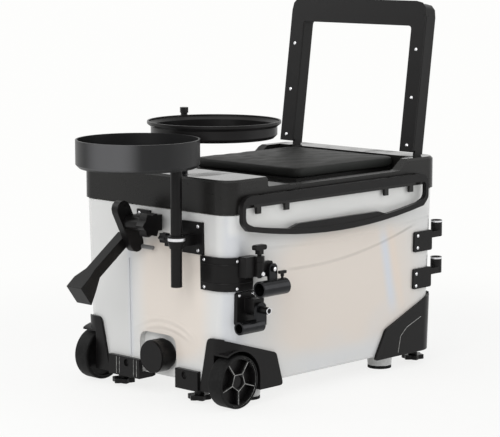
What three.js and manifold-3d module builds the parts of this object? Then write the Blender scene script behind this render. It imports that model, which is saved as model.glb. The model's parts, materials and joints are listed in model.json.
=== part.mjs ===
// A fishing seat box on two wheels: an insulated white box with a black hinged lid that carries a seat pad,
// a folding backrest, a pull handle and a round side tray. A second tray on a post, two rod rests,
// a rod cradle, two pole clips, a drain and four levelling feet are fastened to the box.
//
// Lengths are in millimetres and +Z is up. X runs along the long side from the wheeled left end,
// Y runs from the handle side to the hinge side, and heights are measured from the floor.

import * as THREE from "three";
import { mergeVertices } from "three/addons/utils/BufferGeometryUtils.js";
import Module from "manifold-3d";

const wasm = await Module();
wasm.setup();

// Clearances and cutting

const fit = 0.3;
const wideFit = 0.6;
const runningFit = 0.4;
const overrun = 10;

// Facets

const cornerSteps = 5;
const softSteps = 3;
const roundSteps = 22;
const fineSteps = 32;
const smallSteps = 12;
const traySteps = 44;
const pointMerge = 0.00001;

// Box body: outer shell, foam and inner liner

const bodyLength = 570;
const bodyWidth = 381;
const bodyEnd = bodyLength / 2;
const bodySide = bodyWidth / 2;
const bodyTop = 343;
const bodyBottom = 35;
const bodyCornerRadius = 32;
const bodyDraftShare = 0.02;
const bodyBottomEdge = 5;
const shellWall = 4;
const foamWall = 14;
const foamFloor = 21;
const linerWall = 3;
const linerCornerRadius = 22;
const linerFlangeInset = 5;
const linerFlangeThickness = 3;
const linerStepLength = 100;
const linerStepWidth = 58;
const linerStepTop = 119;
const creaseY = 61;
const creaseTop = 244;
const creaseDepth = 1.5;
const creaseHalfWidth = 3.5;
const bodyLipLeftInset = 35;
const bodyLipLeft = bodyLipLeftInset - bodyEnd;
const bodyLipRightInset = 37;
const bodyLipRight = bodyEnd - bodyLipRightInset;
const bodyLipTop = 353.5;
const bodyLipThickness = 3.5;

// Moulded feet and their pads

const footInset = 103;
const footX = bodyEnd - footInset;
const footSideInset = 53.5;
const footY = bodySide - footSideInset;
const footRadius = 23;
const footRootRadius = 26;
const footPadThickness = 6;

// Wheels, axle and wheel covers

const wheelInset = 27;
const wheelX = wheelInset - bodyEnd;
const wheelRadius = 47.5;
const wheelWidth = 32;
const wheelFaceReach = 1.5;
const wheelFace = bodySide + wheelFaceReach;
const wheelLift = 1;
const tyreThickness = 4;
const tyreShoulder = 2.5;
const hubFaceDepth = 5;
const hubRimWidth = 2.5;
const hubSpokeWidth = 3;
const hubPocketDepth = 9;
const hubCapRadius = 17;
const hubCapHollow = 11.5;
const hubCapHollowDepth = 3;
const hubCapCorner = 2;
const spokeCount = 5;
const axleRadius = 5;
const axleChannelHalf = 6;
const axleInset = 4;
const coverWall = 3;
const coverBottom = 26;
const coverTop = 125;
const coverGrow = 5.4;
const coverSlopeInset = 122;
const coverSlopeX = coverSlopeInset - bodyEnd;
const coverSlopeZ = 88;
const coverToeInset = 141.5;
const coverToeX = coverToeInset - bodyEnd;
const coverEndInnerInset = 50.5;
const coverEndInner = bodySide - coverEndInnerInset;
const coverEndInnerLowInset = 72.5;
const coverEndInnerLow = bodySide - coverEndInnerLowInset;
const coverCorner = 12;
const archGap = 7;
const wheelSideGap = 5;

// Corner guards at the right end

const guardThickness = 6;
const guardTop = 140;
const guardShoulderInset = 29;
const guardShoulderX = bodyEnd - guardShoulderInset;
const guardShoulderZ = 134;
const guardSlopeInset = 147;
const guardSlopeX = bodyEnd - guardSlopeInset;
const guardSlopeZ = 86;
const guardToeInset = 178;
const guardToeX = bodyEnd - guardToeInset;
const guardBottom = 30;
const guardEndInnerInset = 85.5;
const guardEndInner = bodySide - guardEndInnerInset;
const guardCorner = 10;
const guardEndInset = 9;
const guardEndX = bodyEnd - guardEndInset;
const guardLedgeInset = 57;
const guardLedgeX = bodyEnd - guardLedgeInset;
const guardLedgeSideInset = 72.5;
const guardLedgeY = bodySide - guardLedgeSideInset;
const guardBossRadius = 14;

// Levelling feet and their sockets at the left end

const levelInset = 19;
const levelX = bodyEnd - levelInset;
const levelLeftSideInset = 90.5;
const levelLeftY = bodySide - levelLeftSideInset;
const levelRightSideInset = 40.5;
const levelRightY = bodySide - levelRightSideInset;
const levelBottom = 6;
const levelKnobRadius = 22;
const levelKnobDip = 3;
const levelKnobHeight = 9;
const levelHubRadius = 9;
const levelHubTop = 23.7;
const levelStudRadius = 5;
const levelStudTop = 44;
const levelWellRadius = 6.2;
const levelWellTop = 48;
const levelLobes = 6;
const socketBottom = 24;
const socketTop = 60;
const socketInnerInset = 45;
const socketInnerX = bodyEnd - socketInnerInset;
const socketBaseInset = 31;
const socketBaseX = bodyEnd - socketBaseInset;
const socketTongue = 4;
const socketPlate = 7;
const socketBeyondStud = 17;
const socketNearShare = 0.595;
const socketFarShare = 0.34;
const socketNearInner = levelLeftY * socketNearShare;
const socketOuter = levelLeftY + socketBeyondStud;
const socketFarInner = levelLeftY * socketFarShare;
const socketScrewRadius = 7;
const socketScrewDepth = 4;
const socketScrewShare = 0.415;
const socketScrewZ = 49.5;

// Drain

const drainY = -17;
const drainZ = 76;
const drainFloorInset = 17.5;
const drainFloorX = bodyEnd - drainFloorInset;
const drainRecessNear = -55;
const drainRecessFar = 40;
const drainRecessTop = 114;
const drainRecessCorner = 20;
const drainBore = 10;
const drainTubeRadius = 13;
const drainNeckRadius = 16;
const drainFlangeRadius = 26;
const drainFlangeThickness = 6;
const drainNeckLength = 24;
const drainCapRadius = 30;
const drainCapLength = 30;
const drainCapFloor = 6;
const drainCapEdge = 3;
const drainHoleBeyond = 4;
const gasketThickness = 2.3;

// Lid

const lidOverhang = 3;
const lidLength = bodyLength + 2 * lidOverhang;
const lidWidth = bodyWidth + 2 * lidOverhang;
const lidBottom = 345;
const lidTop = 405;
const lidCornerRadius = 33;
const lidTopEdge = 4;
const lidWall = 3.5;
const lidRoof = 4;
const tangSlotDepth = 4;
const lipNotchDepth = 7;
const lidSlabTop = 374;
const leftBlockInset = 97;
const leftBlockX = leftBlockInset - bodyEnd;
const leftDeckInset = 152;
const leftDeckX = leftDeckInset - bodyEnd;
const leftDeckZ = 388;
const sideRimZ = 385;
const sideRimWidth = 20;
const rightRampInset = 116;
const rightRampX = bodyEnd - rightRampInset;
const rightBlockInset = 89;
const rightBlockX = bodyEnd - rightBlockInset;
const seatDeckZ = 378;
const recessLeftInset = 157;
const recessLeftX = recessLeftInset - bodyEnd;
const recessRightInset = 54;
const recessRightX = bodyEnd - recessRightInset;
const lidLinerBottom = 355;
const lidLinerThickness = 3;
const lidGasketWidth = 8;
const lidGasketInset = 4;

// Seat pad and the plateau under it

const padLeftInset = 230;
const padLeftX = padLeftInset - bodyEnd;
const padRightInset = 56;
const padRightX = bodyEnd - padRightInset;
const padHalfWidthInset = 52.5;
const padHalfWidth = bodySide - padHalfWidthInset;
const padBottom = 384.3;
const padTop = 403.4;
const padCrown = 2.6;
const padBulge = 2;
const padDrawIn = 2.5;
const padCornerPull = 7;
const padBaseInset = 9;
const padChannelDepth = 1.2;
const padChannelPitch = 46;
const padChannelSwing = 16;
const padChannelWave = 150;
const padColumns = 28;
const padRows = 18;

// Hinge between body and lid

const hingeHalfLength = 180;
const hingeAxisSideReach = 9;
const hingeAxisY = bodySide + hingeAxisSideReach;
const hingeAxisZ = 344.5;
const hingePinRadius = 2.5;
const hingeKnuckleRadius = 5.5;
const hingeLeafThickness = 2.5;
const hingeLeafHeight = 26;
const hingeKnuckles = 5;

// Handle ring on the lid's near side

const handleHalfLengthInset = 33;
const handleHalfLength = bodyEnd - handleHalfLengthInset;
const handleMiddleX = -14;
const handleBarTop = 377.2;
const handleBarBottom = 361.5;
const handleSideBottom = 330;
const handleBow = 293.5;
const handleEndWidth = 8;
const handleWindowHalf = handleHalfLength - handleEndWidth;
const handleWindowCornerZ = 323;
const handleWindowCornerInset = 29;
const handleWindowCornerX = handleHalfLength - handleWindowCornerInset;
const handleWindowBow = 304;
const handleGripHalf = 109;
const handleGripZ = 317;
const handleGripRamp = 22;
const handleOuterCorner = 26;
const handleInnerCorner = 14;
const handleWindowCorner = 8;
const handleGripStep = 1.5;
const handleBackReach = 8.7;
const handleBack = bodySide + handleBackReach;
const handleThickness = 9;
const handlePivotDepth = 3.8;
const handleSkin = 1.6;
const handleEyeRadius = 3.3;
const handlePivotZ = 369.2;
const handleRodRadius = 1.8;
const handleTabReach = [-202, -130, 140, 212];
const handleTabX = handleTabReach.map((reach) => handleMiddleX + reach);
const handleTabWidth = 11;
const handleTabBottom = 343;
const handleRailBottom = 355;
const handleRailTop = 361.2;
const handleRailEnd = 7;

// Backrest

const backrestPivotInset = 39;
const backrestPivotX = bodyEnd - backrestPivotInset;
const backrestPivotZ = 396;
const backrestLeanDegrees = 7.7;
const backrestOuterInset = 17.5;
const backrestOuter = bodySide - backrestOuterInset;
const backrestStripWidth = 33.5;
const backrestFrontFace = 17;
const backrestFacing = 3;
const backrestDepth = 26;
const backrestFoot = 18;
const backrestHeel = 12.5;
const backrestWindowTop = 258;
const backrestTop = 300;
const backrestOuterCorner = 26;
const backrestInnerCorner = 7;
const tangThickness = 5.5;
const tangRadius = 9;
const tangStop = 1.5;
const backrestRodRadius = 4;
const backrestRodEndGap = 7;

// Lower tray on its post at the left end

const postReach = 42;
const postX = -bodyEnd - postReach;
const postY = -106;
const postRadius = 10;
const postBottom = 216;
const lowerTrayReach = 137;
const lowerTrayX = -bodyEnd - lowerTrayReach;
const lowerTrayY = -112;
const lowerTrayRadius = 105.7;
const lowerTrayBottom = 435;
const lowerTrayHeight = 48;
const lowerTrayTop = lowerTrayBottom + lowerTrayHeight;
const trayWall = 3;
const trayEdge = 6;
const trayBossRadius = 15;
const trayBossDrop = 14;
const clampNear = -132;
const clampFar = -81;
const clampPlateBottom = 271;
const clampPlateTop = 328;
const clampPlateThickness = 4;
const clampRingBottom = 287;
const clampRingTop = 306;
const clampRingRadius = 15.5;
const clampRingFoot = 12;
const clampRingFootZ = 284;
const clampRingWaistZ = 297;
const clampArmHalf = 8;
const clampBossHalf = 8;
const clampBossLength = 6;
const clampScrewRadius = 3;
const clampKnobRadius = 10;
const clampKnobLength = 15;
const clampKnobDip = 1.5;
const clampKnobZ = 300;

// Upper tray on the lid

const upperPostInset = 137;
const upperPostX = upperPostInset - bodyEnd;
const upperPostY = 58.5;
const upperPostRadius = 6.5;
const upperPostRise = 1;
const upperPostFoot = 13;
const upperPostFootHeight = 6;
const upperCollarRadius = 10;
const upperCollarHeight = 6;
const upperTrayInset = 95;
const upperTrayX = upperTrayInset - bodyEnd;
const upperTrayY = -62;
const upperTrayWall = 113.3;
const upperTrayRim = 120;
const upperTrayLift = 60;
const upperTrayBottom = lidTop + upperTrayLift;
const upperTrayWallHeight = 21;
const upperTrayFlare = upperTrayBottom + upperTrayWallHeight;
const upperTrayFlareHeight = 5;
const upperTrayRimLow = upperTrayFlare + upperTrayFlareHeight;
const upperTrayRimHeight = 5;
const upperTrayTop = upperTrayRimLow + upperTrayRimHeight;
const upperPostTop = upperTrayTop + upperPostRise;
const upperLugRadius = 11.5;
const upperLugRise = 3;
const upperLugBottom = upperTrayBottom + upperLugRise;
const upperLugHeight = 14;
const upperLugTop = upperLugBottom + upperLugHeight;
const upperLugArmHalf = 7;
const upperKnobRadius = 8;
const upperKnobHeight = 10;
const upperKnobNeck = 2;
const upperKnobStem = 3;
const upperKnobStemLength = 12;

// Corner bracket and the upper rod rest

const bracketBottom = 210;
const bracketTop = 270;
const bracketRightInset = 59;
const bracketRightX = bracketRightInset - bodyEnd;
const bracketEndY = -126;
const bracketThickness = 6;
const restBlockLeftInset = 23;
const restBlockLeft = restBlockLeftInset - bodyEnd;
const restBlockRightInset = 45;
const restBlockRight = restBlockRightInset - bodyEnd;
const restBlockBottom = 236;
const restBlockTop = 272;
const restBlockDepth = 15;
const restAxisInset = 54;
const restAxisX = restAxisInset - bodyEnd;
const restAxisSideReach = 23.5;
const restAxisY = -bodySide - restAxisSideReach;
const restStemRadius = 4;
const restEyeRadius = 9;
const restEyeHeight = 10;
const restLugRightInset = 82;
const restLugRight = restLugRightInset - bodyEnd;
const restLugLeftInset = 65;
const restLugLeft = restLugLeftInset - bodyEnd;
const restPlateBottom = 234;
const restPlateTop = 262;
const restPlateNearReach = 29.2;
const restPlateNear = bodySide + restPlateNearReach;
const restPlateFarReach = 21.5;
const restPlateFar = bodySide + restPlateFarReach;
const restPinInset = 77;
const restPinX = restPinInset - bodyEnd;
const restPinZ = 248;
const restPinRadius = 3.5;
const restPinHead = 5;
const restEarThickness = 6;
const restEarHalf = 10;
const restTubeRadius = 14.5;
const restTubeBore = 11.5;
const restTubeLeftInset = 38;
const restTubeLeft = restTubeLeftInset - bodyEnd;
const restTubeRightInset = 103;
const restTubeRight = restTubeRightInset - bodyEnd;
const restTubeSideReach = 38.5;
const restTubeY = -bodySide - restTubeSideReach;
const restTubeZ = 216;
const restTubeBoreDepth = 61;
const restKnobBottom = 275;
const restKnobTop = 292;
const restKnobHalf = 14;
const restKnobThickness = 11;
const restStemBottom = 233;
const wingInset = 96;
const wingX = wingInset - bodyEnd;
const wingStemRadius = 2.5;
const wingStemLength = 6;
const wingHeight = 7;
const wingHalf = 9;
const wingThickness = 4.5;
const wingBarShare = 0.55;

// Lower rod rest

const jawPlateLeftInset = 21;
const jawPlateLeft = jawPlateLeftInset - bodyEnd;
const jawPlateRightInset = 66;
const jawPlateRight = jawPlateRightInset - bodyEnd;
const jawPlateBottom = 150;
const jawPlateTop = 208;
const jawPlateThickness = 4;
const jawAxisInset = 53;
const jawAxisX = jawAxisInset - bodyEnd;
const jawAxisZ = 178;
const jawRadius = 13;
const jawTop = 197;
const jawFaceReach = 23.5;
const jawFace = bodySide + jawFaceReach;
const jawPinRadius = 6.5;
const jawPinTipReach = 47.5;
const jawPinTip = bodySide + jawPinTipReach;
const jawStemRadius = 3.5;
const jawEarThickness = 6;
const jawTubeRadius = 11.5;
const jawTubeBore = 8.5;
const jawTubeLeftInset = 4;
const jawTubeLeft = jawTubeLeftInset - bodyEnd;
const jawTubeRightInset = 59;
const jawTubeRight = jawTubeRightInset - bodyEnd;
const jawTubeSideReach = 22.5;
const jawTubeY = -bodySide - jawTubeSideReach;
const jawTubeZ = 150;
const jawTubeBoreDepth = 46;

// Pole clips at the right end

const clipAxisReach = 11;
const clipAxisX = bodyEnd + clipAxisReach;
const clipAxisSideInset = 9.5;
const clipAxisY = clipAxisSideInset - bodySide;
const clipOuterRadius = 11;
const clipBore = 8;
const clipTubeLength = 31;
const clipTubeRise = 23;
const clipPlateLeftInset = 69;
const clipPlateLeft = bodyEnd - clipPlateLeftInset;
const clipPlateRightInset = 16;
const clipPlateRight = bodyEnd - clipPlateRightInset;
const clipPlateHeight = 39;
const clipPlateThickness = 4;
const clipBottoms = [224.5, 153];

// Rod cradle on the left end

const cradleReach = 45;
const cradleX = -bodyEnd - cradleReach;
const cradleZ = 319;
const cradleLeanDegrees = 26.5;
const cradleHeadRadius = 15.5;
const cradleHeadUp = 27;
const cradleHeadDown = 45;
const cradleHeadNear = 12.3;
const cradleHeadFar = 28;
const cradleLugNear = -30;
const cradleLugFar = 12;
const cradleLugRadius = 13;
const cradlePlateNear = 2;
const cradlePlateFar = 36;
const cradlePlateBottom = 300;
const cradlePlateTop = 337;
const cradlePlateThickness = 4;
const cradleBoltRadius = 4;
const cradleKnobRadius = 23;
const cradleKnobDip = 3;
const cradleKnobThickness = 18;
const cradlePinReach = 12;
const cradlePinX = -bodyEnd - cradlePinReach;
const cradlePinZ = 272;
const cradlePinRadius = 4;
const cradlePinLength = 27;
const cradlePinDepth = 9;
const cradleArmReach = 37;
const cradleArmX = -bodyEnd - cradleArmReach;
const cradleArmZ = 283;
const cradleArmDegrees = 36.5;
const cradleArmLength = 111;
const cradleArmHalf = 10;
const cradleArmDepth = 20;
const cradleArmWall = 3.5;
const cradleArmNear = 28.3;
const cradleArmFar = 52;
const cradleScoopLength = 24;
const cradleNeckLength = 25;
const cradleScoopRise = 2;
const cradleScoopDrop = 7;
const cradleScoopLip = 20;
const cradleScoopFlare = 8;

// Solids and how they are joined

function closedGeometry(geometry) {
  const bare = geometry.index ? geometry.toNonIndexed() : geometry.clone();
  bare.deleteAttribute("normal");
  bare.deleteAttribute("uv");
  return mergeVertices(bare, pointMerge);
}

function signedVolume(points, triangles) {
  const corners = [new THREE.Vector3(), new THREE.Vector3(), new THREE.Vector3()];
  let volume = 0;
  for (let i = 0; i < triangles.length; i += 3) {
    corners.forEach((corner, k) => corner.fromArray(points, 3 * triangles[i + k]));
    volume += corners[0].dot(corners[1].cross(corners[2]));
  }
  return volume;
}

function solidOf(geometry) {
  const merged = closedGeometry(geometry);
  const points = merged.attributes.position.array;
  const source = merged.index.array;
  let triangles = [];
  for (let i = 0; i < source.length; i += 3) {
    const [a, b, c] = [source[i], source[i + 1], source[i + 2]];
    if (a !== b && b !== c && a !== c) triangles.push(a, b, c);
  }
  if (signedVolume(points, triangles) < 0) triangles = triangles.reverse();
  const mesh = new wasm.Mesh({
    numProp: 3,
    vertProperties: new Float32Array(points),
    triVerts: new Uint32Array(triangles),
  });
  mesh.merge();
  return new wasm.Manifold(mesh);
}

function geometryOf(solid) {
  const mesh = solid.getMesh();
  const geometry = new THREE.BufferGeometry();
  geometry.setAttribute("position", new THREE.BufferAttribute(new Float32Array(mesh.vertProperties), 3));
  geometry.setIndex(new THREE.BufferAttribute(new Uint32Array(mesh.triVerts), 1));
  geometry.computeVertexNormals();
  return geometry;
}

function join(...solids) {
  return solids.reduce((whole, solid) => whole.add(solid));
}

function cut(solid, ...cutters) {
  return cutters.reduce((whole, cutter) => whole.subtract(cutter), solid);
}

// Basic solids, each placed by the spans that it fills

function sorted(span) {
  return [Math.min(...span), Math.max(...span)];
}

function block(spanX, spanY, spanZ) {
  const spans = [spanX, spanY, spanZ].map(sorted);
  const sizes = spans.map(([low, high]) => high - low);
  const middles = spans.map(([low, high]) => (low + high) / 2);
  return solidOf(new THREE.BoxGeometry(...sizes).translate(...middles));
}

function cylinder(radius, span, steps, topRadius = radius) {
  const [low, high] = sorted(span);
  const geometry = new THREE.CylinderGeometry(topRadius, radius, high - low, steps);
  return geometry.rotateX(Math.PI / 2).translate(0, 0, (low + high) / 2);
}

function rodZ(radius, x, y, spanZ, steps = smallSteps, topRadius = radius) {
  return solidOf(cylinder(radius, spanZ, steps, topRadius).translate(x, y, 0));
}

function rodY(radius, x, spanY, z, steps = smallSteps) {
  const turned = cylinder(radius, sorted(spanY).map((y) => -y), steps).rotateX(Math.PI / 2);
  return solidOf(turned.translate(x, 0, z));
}

function rodX(radius, spanX, y, z, steps = smallSteps) {
  const turned = cylinder(radius, spanX, steps).rotateY(Math.PI / 2);
  return solidOf(turned.translate(0, y, z));
}

const axesForYZ = new THREE.Matrix4().makeBasis(
  new THREE.Vector3(0, 1, 0),
  new THREE.Vector3(0, 0, 1),
  new THREE.Vector3(1, 0, 0),
);

function extruded(shape, depth) {
  return new THREE.ExtrudeGeometry(shape, { depth, bevelEnabled: false, curveSegments: softSteps });
}

function slabXY(shape, span) {
  const [low, high] = sorted(span);
  return solidOf(extruded(shape, high - low).translate(0, 0, low));
}

function slabXZ(shape, span) {
  const [low, high] = sorted(span);
  return solidOf(extruded(shape, high - low).rotateX(Math.PI / 2).translate(0, high, 0));
}

function slabYZ(shape, span) {
  const [low, high] = sorted(span);
  return solidOf(extruded(shape, high - low).applyMatrix4(axesForYZ).translate(low, 0, 0));
}

// An outline whose corners are rounded by the third number of each point
function softOutline(corners, Outline = THREE.Shape) {
  const outline = new Outline();
  const points = corners.map(([x, y]) => new THREE.Vector2(x, y));
  corners.forEach(([, , radius = 0], i) => {
    const here = points[i];
    const before = points[(i + points.length - 1) % points.length];
    const after = points[(i + 1) % points.length];
    const toBefore = before.clone().sub(here);
    const toAfter = after.clone().sub(here);
    const half = Math.abs(toBefore.angle() - toAfter.angle()) / 2;
    const turn = Math.abs(Math.tan(half));
    const reach = Math.min(radius / turn, toBefore.length() / 2, toAfter.length() / 2);
    const start = here.clone().add(toBefore.setLength(reach));
    const end = here.clone().add(toAfter.setLength(reach));
    if (i === 0) outline.moveTo(start.x, start.y);
    else outline.lineTo(start.x, start.y);
    if (radius > 0) outline.quadraticCurveTo(here.x, here.y, end.x, end.y);
  });
  outline.closePath();
  return outline;
}

function roundedRectangle(halfX, halfY, radius, Outline = THREE.Shape) {
  const outline = new Outline();
  outline.moveTo(halfX, -halfY + radius);
  outline.absarc(halfX - radius, halfY - radius, radius, 0, Math.PI / 2);
  outline.absarc(-halfX + radius, halfY - radius, radius, Math.PI / 2, Math.PI);
  outline.absarc(-halfX + radius, -halfY + radius, radius, Math.PI, 1.5 * Math.PI);
  outline.absarc(halfX - radius, -halfY + radius, radius, 1.5 * Math.PI, 2 * Math.PI);
  return outline;
}

// A round outline whose edge swings in and out between lobes
function lobedOutline(radius, dip, lobes, x = 0, y = 0) {
  const count = 4 * lobes;
  const points = Array.from({ length: count }, (_, i) => {
    const angle = (2 * Math.PI * i) / count;
    const reach = radius - dip * (1 - Math.cos(lobes * angle));
    return new THREE.Vector2(x + reach * Math.cos(angle), y + reach * Math.sin(angle));
  });
  return new THREE.Shape(points);
}

function turnedZ(profile, x, y, steps) {
  const points = profile.map(([radius, height]) => new THREE.Vector2(radius, height));
  return solidOf(new THREE.LatheGeometry(points, steps).rotateX(Math.PI / 2).translate(x, y, 0));
}

// A closed body through level rings, each a list of points with as many points as the others
function lofted(rings) {
  const count = rings[0].length;
  const positions = rings.flat().flatMap((point) => point.toArray());
  const triangles = [];
  for (let level = 0; level + 1 < rings.length; level += 1) {
    for (let i = 0; i < count; i += 1) {
      const a = level * count + i;
      const b = level * count + ((i + 1) % count);
      triangles.push(a, b, b + count, a, b + count, a + count);
    }
  }
  const last = (rings.length - 1) * count;
  for (let i = 1; i + 1 < count; i += 1) {
    triangles.push(0, i + 1, i, last, last + i, last + i + 1);
  }
  const geometry = new THREE.BufferGeometry();
  geometry.setAttribute("position", new THREE.Float32BufferAttribute(positions, 3));
  geometry.setIndex(triangles);
  return solidOf(geometry);
}

function ringAt(halfX, halfY, radius, z) {
  const outline = roundedRectangle(halfX, halfY, radius);
  const points = outline.curves.flatMap((curve) => (
    curve.isLineCurve ? [] : curve.getPoints(cornerSteps)
  ));
  return points.map((point) => new THREE.Vector3(point.x, point.y, z));
}

// Outer shell, foam and liner

// A level ring of the body's outside with its draft, moved outward by a margin
function bodyRing(z, grow, radius = bodyCornerRadius + grow) {
  const come = bodyDraftShare * (bodyTop - z) - grow;
  return ringAt(bodyEnd - come, bodySide - come, radius, z);
}

function bodyBlock(grow, low, high, radius) {
  return lofted([bodyRing(low, grow, radius), bodyRing(high, grow, radius)]);
}

function bodyOutside() {
  return lofted([
    bodyRing(bodyBottom, -bodyBottomEdge),
    bodyRing(bodyBottom + bodyBottomEdge, 0),
    bodyRing(bodyTop, 0),
  ]);
}

const wallClear = bodyBlock(fit, 0, lidTop);
const wheelZ = wheelRadius + wheelLift;
const coverInnerFace = wheelFace - wheelWidth - wheelSideGap;
const coverFace = bodySide + coverGrow - bodyDraftShare * (bodyTop - wheelZ);
const hoodInner = wheelRadius + archGap;
const hoodOuter = hoodInner + coverWall;
const pocketRadius = hoodOuter + fit;
const pocketInner = coverInnerFace - coverWall - fit;
const sides = [-1, 1];
const levelSpots = [
  { name: "left_near", x: -levelX, y: -levelLeftY },
  { name: "left_far", x: -levelX, y: levelLeftY },
  { name: "right_near", x: levelX, y: -levelRightY },
  { name: "right_far", x: levelX, y: levelRightY },
];
const footSpots = [
  { name: "left_near", x: -footX, y: -footY },
  { name: "left_far", x: -footX, y: footY },
  { name: "right_near", x: footX, y: -footY },
  { name: "right_far", x: footX, y: footY },
];

// What is hollowed into the body from outside, grown by a margin
function bodyHollows(grow) {
  const radius = pocketRadius + grow;
  const wells = sides.map((side) => join(
    rodY(radius, wheelX, [side * (pocketInner - grow), side * (bodySide + overrun)], wheelZ, fineSteps),
    block(
      [wheelX - radius, wheelX + radius],
      [side * (pocketInner - grow), side * (bodySide + overrun)],
      [0, wheelZ],
    ),
  ));
  const channel = block(
    [wheelX - axleChannelHalf - grow, wheelX + axleChannelHalf + grow],
    [-bodySide, bodySide],
    [0, wheelZ + axleChannelHalf + grow],
  );
  const studs = levelSpots.map(({ x, y }) => (
    rodZ(levelWellRadius + grow, x, y, [0, levelWellTop + grow])
  ));
  const alcove = slabYZ(softOutline([
    [drainRecessNear - grow, 0],
    [drainRecessFar + grow, 0],
    [drainRecessFar + grow, drainRecessTop + grow, drainRecessCorner + grow],
    [drainRecessNear - grow, drainRecessTop + grow, drainRecessCorner + grow],
  ]), [-bodyEnd - overrun, -drainFloorX + grow]);
  return join(...wells, channel, ...studs, alcove);
}

const drainInner = drainFloorX - shellWall - foamWall / 2;
const drainHole = rodX(
  drainTubeRadius + fit,
  [-bodyEnd, -drainInner + drainHoleBeyond],
  drainY,
  drainZ,
  roundSteps,
);

function outerShell() {
  const feet = footSpots.map(({ x, y }) => (
    rodZ(footRadius, x, y, [footPadThickness, bodyBottom + shellWall], roundSteps, footRootRadius)
  ));
  const inside = cut(
    bodyBlock(-shellWall, bodyBottom + shellWall, bodyTop + overrun),
    bodyHollows(shellWall),
  );
  const crease = cut(
    block(
      [-bodyEnd - overrun, -bodyEnd + overrun],
      [creaseY - creaseHalfWidth, creaseY + creaseHalfWidth],
      [socketTop, creaseTop],
    ),
    bodyBlock(-creaseDepth, 0, lidTop),
  );
  const lip = block(
    [bodyLipLeft, bodyLipRight],
    [-bodySide, -bodySide + bodyLipThickness],
    [bodyTop - fit, bodyLipTop],
  );
  return cut(join(bodyOutside(), ...feet, lip), bodyHollows(0), crease, inside, drainHole);
}

function linerOutside(grow) {
  const inset = shellWall + fit + foamWall - grow;
  const floor = bodyBottom + shellWall + fit + foamFloor - grow;
  const main = bodyBlock(-inset, floor, bodyTop + overrun, linerCornerRadius + grow);
  const steps = sides.map((side) => block(
    [-bodyEnd, -bodyEnd + linerStepLength - grow],
    [side * (bodySide - linerStepWidth + grow), side * bodySide],
    [0, linerStepTop - grow],
  ));
  return cut(main, ...steps);
}

function insulationFoam() {
  const outside = cut(
    bodyBlock(-shellWall - fit, bodyBottom + shellWall + fit, bodyTop - fit),
    bodyHollows(shellWall + fit),
  );
  return cut(outside, linerOutside(fit), drainHole);
}

function innerLiner() {
  const flangeLow = bodyTop + fit;
  const flangeHigh = flangeLow + linerFlangeThickness;
  const flange = slabXY(
    roundedRectangle(
      bodyEnd - linerFlangeInset,
      bodySide - linerFlangeInset,
      bodyCornerRadius - linerFlangeInset,
    ),
    [flangeLow, flangeHigh],
  );
  const tub = join(
    cut(linerOutside(0), block([-bodyLength, bodyLength], [-bodyWidth, bodyWidth], [flangeHigh, lidTop])),
    flange,
  );
  return cut(tub, linerOutside(-linerWall), drainHole);
}

function footPad() {
  return rodZ(footRadius, 0, 0, [0, footPadThickness - fit], roundSteps);
}

// Wheel covers, axle and wheels

function wheelCover(side) {
  const face = side * (bodySide + overrun);
  const left = -bodyEnd - overrun;
  const sidePlate = slabXZ(softOutline([
    [left, coverBottom],
    [coverToeX, coverBottom, coverCorner / 2],
    [coverSlopeX, coverSlopeZ, coverCorner],
    [-bodyEnd, coverTop],
    [left, coverTop],
  ]), [side * (bodySide - bodyCornerRadius - coverCorner), face]);
  const endPlate = slabYZ(softOutline([
    [face, coverBottom],
    [face, coverTop],
    [side * coverEndInner, coverTop, coverCorner],
    [side * coverEndInnerLow, coverBottom],
  ]), [left, -bodyEnd + coverCorner / 2]);
  const around = cut(bodyBlock(coverGrow, coverBottom, lidTop), wallClear);
  const underBody = block(
    [-bodyEnd + bodyCornerRadius / 2, coverToeX - coverCorner],
    [side * (pocketInner + fit), side * (bodySide - bodyBottomEdge)],
    [coverBottom, bodyBottom - fit],
  );
  const hoodShell = cut(
    rodY(hoodOuter, wheelX, [side * (coverInnerFace - coverWall), side * coverFace], wheelZ, fineSteps),
    block([-bodyEnd - pocketRadius, -bodyEnd], [-bodyWidth, bodyWidth], [0, lidTop]),
    block([left, 0], [-bodyWidth, bodyWidth], [-wheelRadius, coverBottom]),
  );
  const skins = join(join(sidePlate, endPlate).intersect(around), underBody);
  const wheelSpace = join(
    rodY(hoodInner, wheelX, [side * coverInnerFace, side * (bodySide + overrun)], wheelZ, fineSteps),
    block(
      [wheelX - hoodInner, wheelX + hoodInner],
      [side * coverInnerFace, side * (bodySide + overrun)],
      [0, wheelZ],
    ),
  );
  const axleHole = rodY(axleRadius + fit, wheelX, [side * pocketInner / 2, side * wheelFace], wheelZ);
  const foot = rodZ(footRootRadius + fit, -footX, side * footY, [0, bodyBottom], roundSteps);
  return cut(join(skins, hoodShell), wheelSpace, axleHole, foot);
}

function wheelAxle() {
  const half = wheelFace - hubFaceDepth - axleInset;
  return rodY(axleRadius, wheelX, [-half, half], wheelZ);
}

// Wheel pieces stand on their own axis, with the outer face towards +Z before they are turned
function tyre() {
  const inner = wheelRadius - tyreThickness;
  const half = wheelWidth / 2;
  return turnedZ([
    [inner, -half],
    [wheelRadius - tyreShoulder, -half],
    [wheelRadius, -half + tyreShoulder],
    [wheelRadius, half - tyreShoulder],
    [wheelRadius - tyreShoulder, half],
    [inner, half],
    [inner, -half],
  ], 0, 0, fineSteps);
}

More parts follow.
